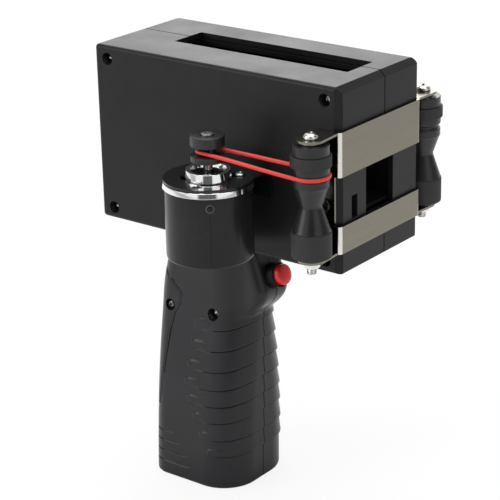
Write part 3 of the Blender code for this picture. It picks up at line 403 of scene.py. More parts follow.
# A black darker than the case's: the plastic's own colour with the shade inside the pocket painted in.
POCKET_PLASTIC_AND_SHADE = plastic("pocket_plastic_and_painted_shade_skin", grey(0.005), grey(0.007), (0.4, 0.5), shine=0.15)
BUTTON_PLASTIC = plastic("button_plastic_skin", (0.64, 0.012, 0.010), (0.72, 0.018, 0.014), (0.3, 0.42))
BELT_RUBBER = plastic(
    "belt_rubber_skin", (0.60, 0.035, 0.022), (0.70, 0.050, 0.034), (0.4, 0.55), 2000, 0.00003
)
BOARD_GREEN = plastic("board_skin", (0.010, 0.10, 0.035), (0.014, 0.14, 0.05), (0.35, 0.5))
STEEL_COLOURS = ((0.185, 0.170, 0.138), (0.210, 0.195, 0.160))
STEEL = make_finish(
    "brushed_steel_skin", STEEL_COLOURS, (0.2, 0.28), 1.0, BRUSHED_LINES, "Streaks", 0.000004
)
PAST_CASE = 1.7  # how far past the case's flanks the sheet still counts as bent
reach = {"Flank Reach": (CASE_HIGH.y + PAST_CASE) * MM}
# Light grey is painted on the sheet's bends as a highlight, and near-black on its flanks as painted shade.
painted_sheet_light = add_node(STEEL.node_tree, "Group", reach, node_tree=PAINTED_BEND_HIGHLIGHT_AND_FLANK_SHADE).outputs
tint(STEEL, painted_sheet_light["Painted Bend Highlight"], (0.70, 0.68, 0.63))
tint(STEEL, painted_sheet_light["Painted Flank Shade"], (0.03, 0.03, 0.028))
ZINC = lathe_metal("zinc_plate_skin", (0.62, 0.62, 0.60), (0.80, 0.80, 0.78), (0.12, 0.26), NEAR_AXLE)
# Black zinc, made darker so that the strap screws carry the painted shade of their deep holes.
DARK_ZINC_AND_SHADE = lathe_metal("dark_zinc_and_painted_shade_skin", grey(0.10), (0.16, 0.16, 0.155), (0.25, 0.35), NEAR_AXLE)
DULL_ZINC = lathe_metal("dull_zinc_skin", grey(0.22), (0.32, 0.32, 0.31), (0.35, 0.45), ENCODER)
FLANGE_METAL = lathe_metal(
    "turned_aluminium_skin", (0.74, 0.74, 0.76), (0.9, 0.9, 0.91), (0.04, 0.08), ENCODER
)
CAN_METAL = plastic(
    "anodised_can_skin", (0.011, 0.011, 0.012), (0.015, 0.015, 0.016), (0.22, 0.28), 7000, 0.000004, 0.2
)
PLATE_PAINT = plastic("painted_plate_skin", grey(0.006), grey(0.009), (0.2, 0.3), 6000, 0.00001, 0.4)
BRASS = lathe_metal("brass_skin", (0.62, 0.42, 0.16), (0.8, 0.58, 0.26), (0.2, 0.35), FAR_AXLE)
GLASS = plastic(
    "screen_glass_skin", (0.004, 0.004, 0.005), (0.006, 0.006, 0.007), (0.03, 0.07), 8000, 0.0000005
)
PANEL = plastic(
    "display_panel_skin", (0.010, 0.012, 0.016), (0.014, 0.016, 0.021), (0.12, 0.18), 8000, 0.000001
)
CELL_WRAP = plastic("cell_wrap_skin", (0.03, 0.12, 0.34), (0.05, 0.16, 0.42), (0.3, 0.4))
print("finishes", len(bpy.data.materials))


# %% [markdown]
# ## Making pieces
# A piece is drawn in a bmesh in millimetres and scaled to metres at the end. Each one is told which body it
# moves with, which material it has, and which plain solids of the model it stands for. Most round parts are
# spun from a section whose corners are rounded first, because a crisp corner never catches the light.

# %% Turn a bmesh into a piece
def new_object(name, bm):
    mesh = bpy.data.meshes.new(name)
    bm.to_mesh(mesh)
    bm.free()
    made = bpy.data.objects.new(name, mesh)
    bpy.context.scene.collection.objects.link(made)
    return made


def add_piece(name, bm, body, finish, stands_for=(), sharp=32, weighted=False):
    bmesh.ops.recalc_face_normals(bm, faces=bm.faces)
    bmesh.ops.scale(bm, vec=(MM, MM, MM), verts=bm.verts)
    piece = new_object(name, bm)
    piece.data.materials.append(finish)
    piece.data.shade_smooth()
    piece.data.set_sharp_from_angle(angle=math.radians(sharp))
    if weighted:
        piece.modifiers.new("flat_faces", "WEIGHTED_NORMAL").keep_sharp = True
    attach(piece, body)
    if stands_for:
        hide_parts(*stands_for)
    return piece


def carve(bm, cutters, operation="DIFFERENCE"):
    """Runs exact Booleans between bmeshes and returns the result. The cutters are used up."""
    target = new_object("carve_target", bm)
    helpers = []
    for cutter in cutters:
        bmesh.ops.recalc_face_normals(cutter, faces=cutter.faces)
        helper = new_object("carve_cutter", cutter)
        helpers.append(helper)
        modifier = target.modifiers.new("carve", "BOOLEAN")
        modifier.operation = operation
        modifier.solver = "EXACT"
        modifier.object = helper
    bpy.context.view_layer.update()
    seen = target.evaluated_get(bpy.context.evaluated_depsgraph_get())
    carved = bmesh.new()
    carved.from_mesh(seen.to_mesh())
    for helper in (target, *helpers):
        bpy.data.objects.remove(helper)
    bmesh.ops.remove_doubles(carved, verts=carved.verts, dist=0.002)
    return carved


def soften(bm, width, segments=2, above=40):
    """Bevels every edge that bends by more than an angle."""
    sharp = [e for e in bm.edges if len(e.link_faces) == 2 and e.calc_face_angle(0) > math.radians(above)]
    bmesh.ops.bevel(
        bm, geom=sharp, offset=width, segments=segments, profile=0.5, affect="EDGES", clamp_overlap=True
    )
    return bm


# %% Draw blocks, outlines and turned sections
def put(bm, place, turn=None):
    """Turns a drawing by a matrix, where one is given, and moves it to its place."""
    if turn is not None:
        bmesh.ops.transform(bm, matrix=turn, verts=bm.verts)
    bmesh.ops.translate(bm, vec=place, verts=bm.verts)
    return bm


def block(low, high):
    bm = bmesh.new()
    bmesh.ops.create_cube(bm, size=1.0)
    bmesh.ops.scale(bm, vec=[b - a for a, b in zip(low, high)], verts=bm.verts)
    return put(bm, [(a + b) / 2 for a, b in zip(low, high)])


def extrude(points, along):
    """A prism from a closed loop of 3-D points, pushed along a vector."""
    bm = bmesh.new()
    face = bm.faces.new([bm.verts.new(p) for p in points])
    grown = bmesh.ops.extrude_face_region(bm, geom=[face])
    moved = [v for v in grown["geom"] if isinstance(v, bmesh.types.BMVert)]
    bmesh.ops.translate(bm, vec=along, verts=moved)
    bmesh.ops.recalc_face_normals(bm, faces=bm.faces)
    return bm


def round_corners(profile, radius, steps=3):
    """Replaces each corner of a closed (radius, height) section by an arc, except those on the axis."""
    rounded = []
    count = len(profile)
    for i, corner in enumerate(profile):
        before, here, after = (Vector(profile[(i + k) % count]) for k in (-1, 0, 1))
        back, ahead = before - here, after - here
        reach = min(radius, back.length * 0.45, ahead.length * 0.45)
        if corner[0] < 0.01 or reach < 0.005 or abs(back.angle(ahead) - math.pi) < 0.05:
            rounded.append(tuple(here))
            continue
        start, end = here + back.normalized() * reach, here + ahead.normalized() * reach
        for k in range(steps + 1):
            share = k / steps
            curved = start.lerp(here, share).lerp(here.lerp(end, share), share)
            rounded.append(tuple(curved))
    return rounded


def turned(profile, place=(0, 0, 0), radius=0.3, segments=96, turn=None):
    """Spins a section about Z, then turns it by a matrix and moves it to its place."""
    bm = bmesh.new()
    points = round_corners(profile, radius) if radius else profile
    verts = [bm.verts.new((r, 0.0, z)) for r, z in points]
    pairs = list(zip(verts, verts[1:] + verts[:1]))
    edges = [bm.edges.new(p) for p in pairs if p[0].co.x > 1e-6 or p[1].co.x > 1e-6]
    bmesh.ops.spin(
        bm,
        geom=verts + edges,
        cent=(0, 0, 0),
        axis=(0, 0, 1),
        angle=2 * math.pi,
        steps=segments,
        use_merge=True,
    )
    bmesh.ops.remove_doubles(bm, verts=bm.verts, dist=1e-4)
    put(bm, place, turn)
    bmesh.ops.recalc_face_normals(bm, faces=bm.faces)
    return bm


def rod(radius, low, high, place=(0, 0, 0), turn=None, segments=48):
    """A plain cylinder, mostly used as a cutter."""
    return turned([(0, high), (radius, high), (radius, low), (0, low)], place, 0, segments, turn)


def merge(*drawings):
    """Puts several closed drawings in one bmesh."""
    whole = drawings[0]
    for other in drawings[1:]:
        mesh = bpy.data.meshes.new("merge")
        other.to_mesh(mesh)
        other.free()
        whole.from_mesh(mesh)
        bpy.data.meshes.remove(mesh)
    return whole


def about_z(degrees):
    return Matrix.Rotation(math.radians(degrees), 4, "Z")


FACING_NEAR = Matrix.Rotation(math.radians(90), 4, "X")
FACING_FAR = Matrix.Rotation(math.radians(-90), 4, "X")
FACING_BACK = Matrix.Rotation(math.radians(-90), 4, "Y")
print("tools ready")


# %% [markdown]
# ## The case
# Two moulded halves meet a little off the middle. The print face has a flat chamfer along its near and top
# edges and a small one along the others, and every other outer edge is rounded. The big edges are bevelled
# first, while the drawing is still a block. The openings are carved next, and one last small bevel breaks
# every edge that is still crisp.

# %% Draw a case half
CASE_ROUND = 1.8
FACE_CHAMFER = 2.6
SMALL_CHAMFER = 0.5
EDGE_BREAK = 0.22
SEAM_GAP = 0.25
NEAR_SEAM = box_mm("near_shell")[1].y - SEAM_GAP
FAR_SEAM = box_mm("screen_shell")[0].y
WALL = 2.5


def edge_middle(edge):
    return (edge.verts[0].co + edge.verts[1].co) / 2


def case_half(near_y, seam_y):
    """A solid block with its outer edges rounded and its print face chamfered. near_y is the outer flank."""
    ends = sorted((near_y, seam_y))
    bm = block((CASE_LOW.x, ends[0], CASE_LOW.z), (CASE_HIGH.x, ends[1], CASE_HIGH.z))

    def bevel(chosen, offset, segments):
        edges = [e for e in bm.edges if abs(edge_middle(e).y - seam_y) > 0.01 and chosen(edge_middle(e))]
        bmesh.ops.bevel(bm, geom=edges, offset=offset, segments=segments, profile=0.5, affect="EDGES")

    def trimmed_less(middle):
        far_flank = near_y > 0 and abs(middle.y - near_y) < 0.01
        return far_flank or middle.z < CASE_LOW.z + 0.01

    bevel(lambda m: m.x > CASE_HIGH.x - 0.01 and not trimmed_less(m), FACE_CHAMFER, 1)
    bevel(lambda m: m.x > CASE_HIGH.x - 0.01 and trimmed_less(m), SMALL_CHAMFER, 2)
    inner_x = CASE_HIGH.x - FACE_CHAMFER

    def still_crisp(middle):
        on_top = min(abs(middle.z - CASE_LOW.z), abs(middle.z - CASE_HIGH.z)) < 0.01
        on_flank = abs(middle.y - near_y) < 0.01
        at_back = abs(middle.x - CASE_LOW.x) < 0.01
        return on_top + on_flank + at_back > 1 and middle.x < inner_x - 5

    bevel(still_crisp, CASE_ROUND, 5)
    return bm


def inner_space(low_y, high_y):
    inside = Vector((WALL, 0, WALL))
    low, high = CASE_LOW + inside, CASE_HIGH - inside
    return block((low.x, low_y, low.z), (high.x, high_y, high.z))


# %% [markdown]
# The slot in the top is the inside of the cartridge pocket, so most of its edges come from the pocket's box.
# The window in the print face opens into the same pocket, and a sensor looks out of the small hole beside it.

# %% Carve the openings
POCKET_LOW, POCKET_HIGH = box_mm("cartridge_pocket")
POCKET_WALL = 1.5
SLOT_LOW = (POCKET_LOW.x + POCKET_WALL, POCKET_LOW.y + POCKET_WALL)
SLOT_HIGH = (76.6, POCKET_HIGH.y - POCKET_WALL)
SENSOR_LOW, SENSOR_HIGH = box_mm("print_sensor")
SCREW_PLACES = [middle_mm(f"case_screw_{i}") for i in range(1, 5)]
WINDOW_LOW, WINDOW_HIGH = (-9.6, 146.0), (10.5, 176.0)  # across and up
SCREW_WELL = 2.75
SCREW_SEAT = box_mm("case_screw_1")[0].y + 1.7


def opening_cutters():
    slot = block((*SLOT_LOW, CASE_HIGH.z - 6), (*SLOT_HIGH, CASE_HIGH.z + 6))
    window = block((CASE_HIGH.x - 6, *WINDOW_LOW), (CASE_HIGH.x + 6, *WINDOW_HIGH))
    return [slot, window]


def make_near_case():
    bm = case_half(CASE_LOW.y, NEAR_SEAM)
    bm = carve(bm, [inner_space(CASE_LOW.y + WALL, NEAR_SEAM + 4)])
    posts = [rod(4.2, -NEAR_SEAM, -CASE_LOW.y - 1, (p.x, 0, p.z), FACING_NEAR) for p in SCREW_PLACES]
    bm = carve(bm, posts, "UNION")
    cutters = opening_cutters()
    rim = Vector((0, 1.5, 1.5))
    hole_low, hole_high = SENSOR_LOW + rim, SENSOR_HIGH - rim
    cutters.append(block((80, *hole_low.yz), (95, *hole_high.yz)))
    for place in SCREW_PLACES:
        cutters.append(rod(SCREW_WELL, -SCREW_SEAT, 40, (place.x, 0, place.z), FACING_NEAR))
    for node, radius in (("power_ring", 5.9), ("charge_socket", 4.5)):
        middle = middle_mm(node)
        cutters.append(rod(radius, -6, 6, (CASE_LOW.x, middle.y, middle.z), FACING_BACK))
    low, high = box_mm("usb_socket")
    cutters.append(block(low - Vector((5, 0.3, 0.3)), (CASE_LOW.x + 5, high.y + 0.3, high.z + 0.3)))
    bm = soften(carve(bm, cutters), EDGE_BREAK)
    add_piece("near_case_half", bm, "printer", CASE_PLASTIC, ["near_shell"], 32, True)


def make_screen_case():
    bm = case_half(CASE_HIGH.y, FAR_SEAM)
    bm = carve(bm, [inner_space(FAR_SEAM - 4, CASE_HIGH.y - 4)])
    low, high = box_mm("touch_screen")
    recess = block((low.x - 0.3, low.y - 0.3, low.z - 0.3), (high.x + 0.3, high.y + 5, high.z + 0.3))
    behind = block((low.x + 5, low.y - 9, low.z + 5), (high.x - 5, high.y + 5, high.z - 5))
    bm = soften(carve(bm, [*opening_cutters(), recess, behind]), EDGE_BREAK)
    add_piece("screen_case_half", bm, "printer", CASE_PLASTIC, ["screen_shell"], 32, True)


make_near_case()
make_screen_case()
print("case halves carved")


# %% [markdown]
# ## Screws, bolts and nuts
# A pan-head screw is a low dome with a cross recess, which is two crossed wedges carved out of it. A bolt's
# thread shows only on its free end, where the section zigzags. The hexagon nut is a six-sided prism whose
# corners are turned off by a cone. A screw that stands proud sits a little further out than the model's plain
# one.

# %% Make screws
def cross_recess(size, depth, top):
    """Two crossed blades that taper towards their tip, as cutters. top is the height of the screw's head."""
    half, thin = size / 2, size * 0.14
    corners = ((-half, top + 1), (half, top + 1), (half * 0.35, top - depth), (-half * 0.35, top - depth))
    blades = []
    for heading in (20, 110):
        blade = extrude([(x, -thin, z) for x, z in corners], (0, 2 * thin, 0))
        blades.append(put(blade, (0, 0, 0), about_z(heading)))
    return blades


def screw_drawing(head_radius, head_height, shank_radius, length, threaded=0.0):
    """A pan-head screw along Z with its seat at 0. The last stretch of the shank can carry a thread."""
    crown = []
    for a in arc_angles(0, 88, 9):
        crown.append((head_radius * math.cos(a), head_height * (0.25 + 0.75 * math.sin(a))))
    shank = [(shank_radius, 0.0), (shank_radius, threaded - length)]
    pitch, depth = 0.7, 0.28
    turns = int(threaded / pitch)
    for k in range(turns):
        z = threaded - length - k * pitch
        valley = (shank_radius - depth, z - pitch * 0.5)
        shank += [(shank_radius, z - 0.1), valley, (shank_radius, z - pitch * 0.9)]
    tip = [(shank_radius - 0.3, -length), (0, -length)]
    profile = [(0, head_height), *reversed(crown), (head_radius, 0), *shank, *tip]
    bm = turned(profile, radius=0, segments=48)
    return carve(bm, cross_recess(head_radius * 1.25, head_height * 0.75, head_height))


def arc_angles(start, end, steps):
    return [math.radians(start + (end - start) * k / steps) for k in range(steps + 1)]


def add_screw(node, head_radius, head_height, shank_radius, facing, finish, threaded=0.0, proud=0.0):
    """Fits a detailed screw where the model's plain one is. Its head points in the direction of facing."""
    low, high = box_mm(node)
    middle = (low + high) / 2
    axis = max(range(3), key=lambda k: abs(facing[k]))
    outward = facing[axis]
    top = high[axis] if outward > 0 else low[axis]
    length = (high - low)[axis] - head_height + proud
    bm = screw_drawing(head_radius, head_height, shank_radius, length, threaded)
    place = middle.copy()
    place[axis] = top + outward * (proud - head_height)
    turn = Vector(facing).to_track_quat("Z", "Y").to_matrix().to_4x4()
    add_piece(f"{node}_head", put(bm, place, turn), "printer", finish, [node], 35)


for number in range(1, 5):
    add_screw(f"case_screw_{number}", 2.3, 1.7, 1.4, (0, -1, 0), ZINC)
add_screw("near_bracket_screw", 2.6, 1.6, 1.3, (0, -1, 0), PLATE_PAINT)
add_screw("far_bracket_screw", 2.6, 1.6, 1.3, (0, 1, 0), PLATE_PAINT)
for number in range(1, 4):
    add_screw(f"encoder_screw_{number}", 2.2, 1.1, 1.15, (0, 0, 1), ZINC)
print("screws made")


# %% [markdown]
# ## The guide bracket
# One strip of stainless sheet wraps the front of the case. Its plan is a U with bent corners, drawn once as
# an outer and an inner line and pushed up to the full height. The gap between the two bands is carved out,
# and the four tongues that hold the rollers are joined on.

# %% Bend the guide bracket
SHEET = 1.0
BEND = 2.0
GUIDE_LOW, GUIDE_HIGH = box_mm("guide_bracket")
FLANK = CASE_HIGH.y + 0.3
BAND_GAP = (146.7, 167.9)
TONGUE_ROUND = 5.8


def guide_outline():
    """The U-shaped plan of the sheet: its outer line one way and its inner line back."""
    front, back = GUIDE_HIGH.x, GUIDE_LOW.x
    outer_y = FLANK + SHEET
    centre = Vector((front - BEND, outer_y - BEND))
    outer = [(back, -outer_y)]
    outer += [(centre.x + BEND * math.sin(a), -centre.y - BEND * math.cos(a)) for a in arc_angles(0, 90, 6)]
    outer += [(centre.x + BEND * math.cos(a), centre.y + BEND * math.sin(a)) for a in arc_angles(0, 90, 6)]
    outer += [(back, outer_y)]
    small = BEND - SHEET
    inner = [(back, FLANK)]
    inner += [(centre.x + small * math.sin(a), centre.y + small * math.cos(a)) for a in arc_angles(0, 90, 6)]
    inner += [(centre.x + small * math.cos(a), -centre.y - small * math.sin(a)) for a in arc_angles(0, 90, 6)]
    inner += [(back, -FLANK)]
    return outer + inner


def roller_tongue(side, level):
    """A flat tongue from a flank to the roller's bolt, ending in a half circle."""
    axle = NEAR_AXLE if side < 0 else FAR_AXLE
    points = [(GUIDE_LOW.x, side * (FLANK + 0.2), level)]
    for a in arc_angles(180, 0, 20):
        x = axle.x + TONGUE_ROUND * math.cos(a)
        points.append((x, axle.y + side * TONGUE_ROUND * math.sin(a), level))
    points.append((GUIDE_HIGH.x - 1.3, side * (FLANK + 0.2), level))
    return extrude(points, (0, 0, SHEET))


def make_guide_bracket():
    height = GUIDE_HIGH.z - GUIDE_LOW.z
    bm = extrude([(x, y, GUIDE_LOW.z) for x, y in guide_outline()], (0, 0, height))
    gap = block((GUIDE_HIGH.x - 2.9, -50, BAND_GAP[0]), (GUIDE_HIGH.x + 5, 50, BAND_GAP[1]))
    bm = carve(bm, [gap])
    levels = (GUIDE_HIGH.z - SHEET, GUIDE_LOW.z)
    bm = carve(bm, [roller_tongue(side, level) for side in (-1, 1) for level in levels], "UNION")
    holes = [rod(2.2, 100, 250, (axle.x, axle.y, 0)) for axle in (NEAR_AXLE, FAR_AXLE)]
    middle = middle_mm("near_bracket_screw")
    holes.append(rod(1.8, -60, 60, (middle.x, 0, middle.z), FACING_NEAR))
    bm = soften(carve(bm, holes), 0.14, 2, 35)
    add_piece("guide_sheet", bm, "printer", STEEL, ["guide_bracket"], 32, True)


make_guide_bracket()
print("guide bracket bent")


# %% [markdown]
# ## The guide rollers
# Each roller is a black spool with a waist, which keeps it clear of the carton's edge. Two rubber rings do
# the gripping, and their fine ribs are cut round the rim. Only the near roller's groove carries the belt, but
# both spools come from the same mould. The bolt runs through both tongues and ends in a nut with a washer
# face.

# %% Turn the rollers
SPOOL_LOW, SPOOL_HIGH = box_mm("near_roller")
SPOOL_RADIUS = 7.6
TOP_RING = (8.5, 175.5, 180.3)
LOW_RING = (8.4, SPOOL_LOW.z + 0.5, 147.9)
GROOVE = 6.7
GROOVE_CURVE = 0.95
GROOVE_HEIGHT = 171.5
WAIST = (158.6, 4.55)  # its height and its radius
AXLE_RADIUS = 2.0


def spool_profile():
    """The spool's section, down its outside. Its bore closes the loop."""
    top, bottom = SPOOL_HIGH.z, SPOOL_LOW.z
    high_seat, low_seat = TOP_RING[0] - 1.8, LOW_RING[0] - 1.7
    wide, curve = SPOOL_RADIUS + 0.1, GROOVE_CURVE
    outside = [(2.35, top), (SPOOL_RADIUS, top), (SPOOL_RADIUS, TOP_RING[2]), (high_seat, TOP_RING[2])]
    outside += [(high_seat, TOP_RING[1]), (wide, TOP_RING[1]), (wide, GROOVE_HEIGHT + 1.3)]
    for a in arc_angles(80, -80, 8):
        outside.append((GROOVE + curve - curve * math.cos(a), GROOVE_HEIGHT + curve * math.sin(a)))
    outside += [(SPOOL_RADIUS, GROOVE_HEIGHT - 1.3), (SPOOL_RADIUS, 167.2), (SPOOL_RADIUS - 0.35, 166.7)]
    outside += [(WAIST[1] + 0.08, WAIST[0] + 0.5), (WAIST[1] + 0.08, WAIST[0] - 0.3)]
    outside += [(8.05, LOW_RING[2] + 0.3), (8.05, LOW_RING[2]), (low_seat, LOW_RING[2])]
    outside += [(low_seat, LOW_RING[1]), (SPOOL_RADIUS + 0.2, LOW_RING[1]), (SPOOL_RADIUS, bottom)]
    return [*outside, (2.35, bottom)]


def rubber_ring(ring, place, ribs=72, depth=0.09):
    """A ring whose rim is cut with fine upright ribs."""
    radius, low, high = ring
    section = [(radius - 1.6, high), (radius, high), (radius, low), (radius - 1.6, low)]
    bm = turned(section, (0, 0, 0), 0.3, ribs * 4)
    middle = [e for e in bm.edges if abs(e.verts[0].co.z - e.verts[1].co.z) > (high - low) * 0.5]
    outer = [e for e in middle if Vector(e.verts[0].co[:2]).length > radius - 0.1]
    bmesh.ops.subdivide_edges(bm, edges=outer, cuts=6)
    for vert in bm.verts:
        flat = Vector((vert.co.x, vert.co.y))
        inside = min(vert.co.z - low, high - vert.co.z)
        if flat.length > radius - 0.1 and inside > 0.7:
            wave = 0.5 + 0.5 * math.cos(ribs * math.atan2(flat.y, flat.x))
            vert.co.xy = flat * (1 - depth * wave / radius)
    return put(bm, place)


def make_roller(side_name, axle, body):
    place = (axle.x, axle.y, 0)
    spool = turned(spool_profile(), place, 0.35, 128)
    stands_for = [f"{side_name}_roller"]
    add_piece(f"{side_name}_spool", spool, body, ROLLER_PLASTIC, stands_for, 28, True)
    for ring_name, ring in (("top_ring", TOP_RING), ("low_ring", LOW_RING)):
        bm = rubber_ring(ring, place)
        node = f"{side_name}_{ring_name}"
        add_piece(f"{node}_tread", bm, body, RING_RUBBER, [node], 40)


def make_axle(side_name):
    """The bolt with its dome head and threaded end, the washer under it, and the nut below the bracket."""
    add_screw(f"{side_name}_axle_bolt", 3.15, 2.3, AXLE_RADIUS, (0, 0, 1), ZINC, 8.0)
    low, high = box_mm(f"{side_name}_axle_nut")
    middle = (low + high) / 2
    place = (middle.x, middle.y, 0)
    thick = high.z - low.z
    hexagon = [(3.5 * math.cos(a), 3.5 * math.sin(a), low.z) for a in arc_angles(30, 330, 5)]
    cone = [(0, thick + 0.01), (3.9, thick + 0.01), (3.9, 0.55), (3.0, 0.0), (0, 0.0)]
    bm = carve(extrude(hexagon, (0, 0, thick)), [turned(cone, (0, 0, low.z), 0)], "INTERSECT")
    put(bm, place)
    collar = turned([(2.3, high.z), (3.75, high.z), (3.85, high.z - 0.7), (2.3, high.z - 0.7)], place, 0.1)
    bore = rod(2.25, low.z - 1, high.z + 1, place)
    bm = merge(carve(bm, [bore]), collar)
    add_piece(f"{side_name}_hex_nut", bm, "printer", ZINC, [f"{side_name}_axle_nut"], 30)
    low, high = box_mm(f"{side_name}_washer")
    washer = turned([(2.3, high.z), (4.2, high.z), (4.2, low.z), (2.3, low.z)], place, 0.1)
    add_piece(f"{side_name}_flat_washer", washer, "printer", ZINC, [f"{side_name}_washer"])


make_roller("near", NEAR_AXLE, "near_roller")
make_roller("far", FAR_AXLE, "far_roller")
make_axle("near")
make_axle("far")
print("rollers and axles made")


# %% [markdown]
# ## The encoder
# A black can hangs under a turned aluminium flange. The flange's boss pokes up through the bracket plate, and
# its recess shows the bearing and the shaft. The boss and the polished rim taper a little, so that they catch
# the room's light instead of the black plate's. The plate's opening has four notches, and the long one leaves
# only a thin rim, so the polished flange shows through it.

# %% Build the encoder
CAN_LOW, CAN_HIGH = box_mm("encoder_can")
FLANGE_LOW, FLANGE_HIGH = box_mm("encoder_flange")
PLATE_LOW, PLATE_HIGH = box_mm("encoder_bracket")
CAN_RADIUS = (CAN_HIGH.x - CAN_LOW.x) / 2
FLANGE_RADIUS = (FLANGE_HIGH.x - FLANGE_LOW.x) / 2
FLANGE_RIM = (161.5, 163.8)
BOSS_RADIUS = 9.77
BOSS_RISE = 0.9  # how far the boss stands above the model's plain one
BOSS_TAPER = 0.4
# The seal is drawn as a dark disc across the whole recess floor, so it also paints the recess's shade.
SEAL_AND_RECESS_SHADE_PROFILE = ((2.35, 167.0), (4.2, 167.0), (7.1, 166.8), (7.1, 165.0), (2.35, 165.0))
NOTCHES = ((-46, 5.6, 17.9), (45, 3.0, 11.6), (135, 3.0, 11.6), (-135, 3.0, 11.6))
CAN_SEAM_HEADING = -50  # degrees
SET_SCREW_HEIGHT = 157.2
ENCODER_PLACE = (ENCODER.x, ENCODER.y, 0)
PLATE_SCREWS = [middle_mm(f"encoder_screw_{i}") for i in (1, 2, 3)]


def make_flange():
    top, foot = FLANGE_HIGH.z + BOSS_RISE, BOSS_RADIUS + BOSS_TAPER
    rim_low, rim_high = FLANGE_RIM
    profile = [(3.9, 166.6), (7.3, 166.6), (7.6, top), (BOSS_RADIUS - BOSS_TAPER, top)]
    profile += [(foot, rim_high + 0.2), (foot - 0.2, rim_high), (FLANGE_RADIUS - BOSS_TAPER, rim_high)]
    profile += [(FLANGE_RADIUS, rim_low), (CAN_RADIUS - 2, rim_low)]
    profile += [(CAN_RADIUS - 2, FLANGE_LOW.z), (3.9, FLANGE_LOW.z)]
    bm = turned(profile, ENCODER_PLACE, 0.22, 160)
    add_piece("encoder_face", bm, "printer", FLANGE_METAL, ["encoder_flange"], 28, True)
    # A dark disc over the recess floor: the seal, widened to paint the recess's shade.
    seal = turned(SEAL_AND_RECESS_SHADE_PROFILE, ENCODER_PLACE, 0.15)
    add_piece("encoder_seal_and_recess_shade", seal, "printer", POCKET_PLASTIC_AND_SHADE)


def make_can():
    base, rim = CAN_LOW.z, CAN_HIGH.z
    wall = CAN_RADIUS - 1.5
    profile = [(wall, rim), (CAN_RADIUS, rim), (CAN_RADIUS, base + 0.9), (CAN_RADIUS - 0.25, base + 0.3)]
    profile += [(CAN_RADIUS - 0.9, base), (0, base), (0, base + 1.5), (wall, base + 1.5)]
    bm = turned(profile, ENCODER_PLACE, 0.35, 160)
    groove = block((CAN_RADIUS - 0.4, -0.22, base + 1.5), (CAN_RADIUS + 1, 0.22, 154.5))
    bm = carve(bm, [put(groove, ENCODER_PLACE, about_z(CAN_SEAM_HEADING))])
    add_piece("encoder_cup", bm, "printer", CAN_METAL, ["encoder_can"], 28, True)
    facing = math.radians(CAN_SEAM_HEADING)
    outward = Vector((math.cos(facing), math.sin(facing), 0))
    turn = outward.to_track_quat("Z", "Y").to_matrix().to_4x4()
    place = Vector((ENCODER.x, ENCODER.y, SET_SCREW_HEIGHT)) + outward * (CAN_RADIUS - 0.05)
    screw = put(screw_drawing(1.35, 0.35, 0.9, 1.6), place, turn)
    add_piece("can_set_screw", screw, "printer", CAN_METAL)
    ring = turned([(1.45, 0.12), (1.75, 0.12), (1.75, -0.6), (1.45, -0.6)], (0, 0, 0), 0.05, 48)
    add_piece("can_screw_ring", put(ring, place, turn), "printer", DARK_ZINC_AND_SHADE)


def make_plate():
    """A wide tongue that ends in a half circle. Each notch has a heading, a half width and a reach."""
    half = 16.5
    radius = ENCODER.y - PLATE_LOW.y
    start = math.degrees(math.acos(half / radius))
    left, right, under = ENCODER.x - half, ENCODER.x + half, PLATE_HIGH.z - SHEET
    points = [(right, PLATE_HIGH.y, under)]
    for a in arc_angles(start, -180 - start, 60):
        points.append((ENCODER.x + radius * math.cos(a), ENCODER.y + radius * math.sin(a), under))
    points.append((left, PLATE_HIGH.y, under))
    leg = block((left, PLATE_HIGH.y - 1.2, PLATE_LOW.z), (right, PLATE_HIGH.y, PLATE_HIGH.z))
    bm = carve(extrude(points, (0, 0, SHEET)), [leg], "UNION")
    cutters = [rod(10.35, 150, 180, ENCODER_PLACE, None, 96)]
    for place in PLATE_SCREWS:
        cutters.append(rod(1.5, 150, 180, (place.x, place.y, 0)))
    for heading, half_width, notch_reach in NOTCHES:
        notch = block((0, -half_width, 150), (notch_reach, half_width, 180))
        cutters.append(put(notch, ENCODER_PLACE, about_z(heading)))
    bm = soften(carve(bm, cutters), 0.12, 2, 35)
    add_piece("encoder_plate", bm, "printer", PLATE_PAINT, ["encoder_bracket"], 32, True)


make_flange()
make_can()
make_plate()
print("encoder made")


# %% [markdown]
# ## The pulley and the belt
# The pulley is a small spool with knurled rims, clamped on the shaft by a screw in its top. The belt is a
# round cord. It wraps each groove in an arc, and its straight strands slope, because the two grooves are at
# different heights. A cubic blend lets each strand leave its groove level, as a stretched cord does.

# %% Make the pulley
PULLEY_LOW, PULLEY_HIGH = box_mm("drive_pulley")
PULLEY_RADIUS = (PULLEY_HIGH.x - PULLEY_LOW.x) / 2
PULLEY_GROOVE = 3.45
PULLEY_GROOVE_HEIGHT = 176.2
KNURLS = 60
KNURL_DEPTH = 0.10


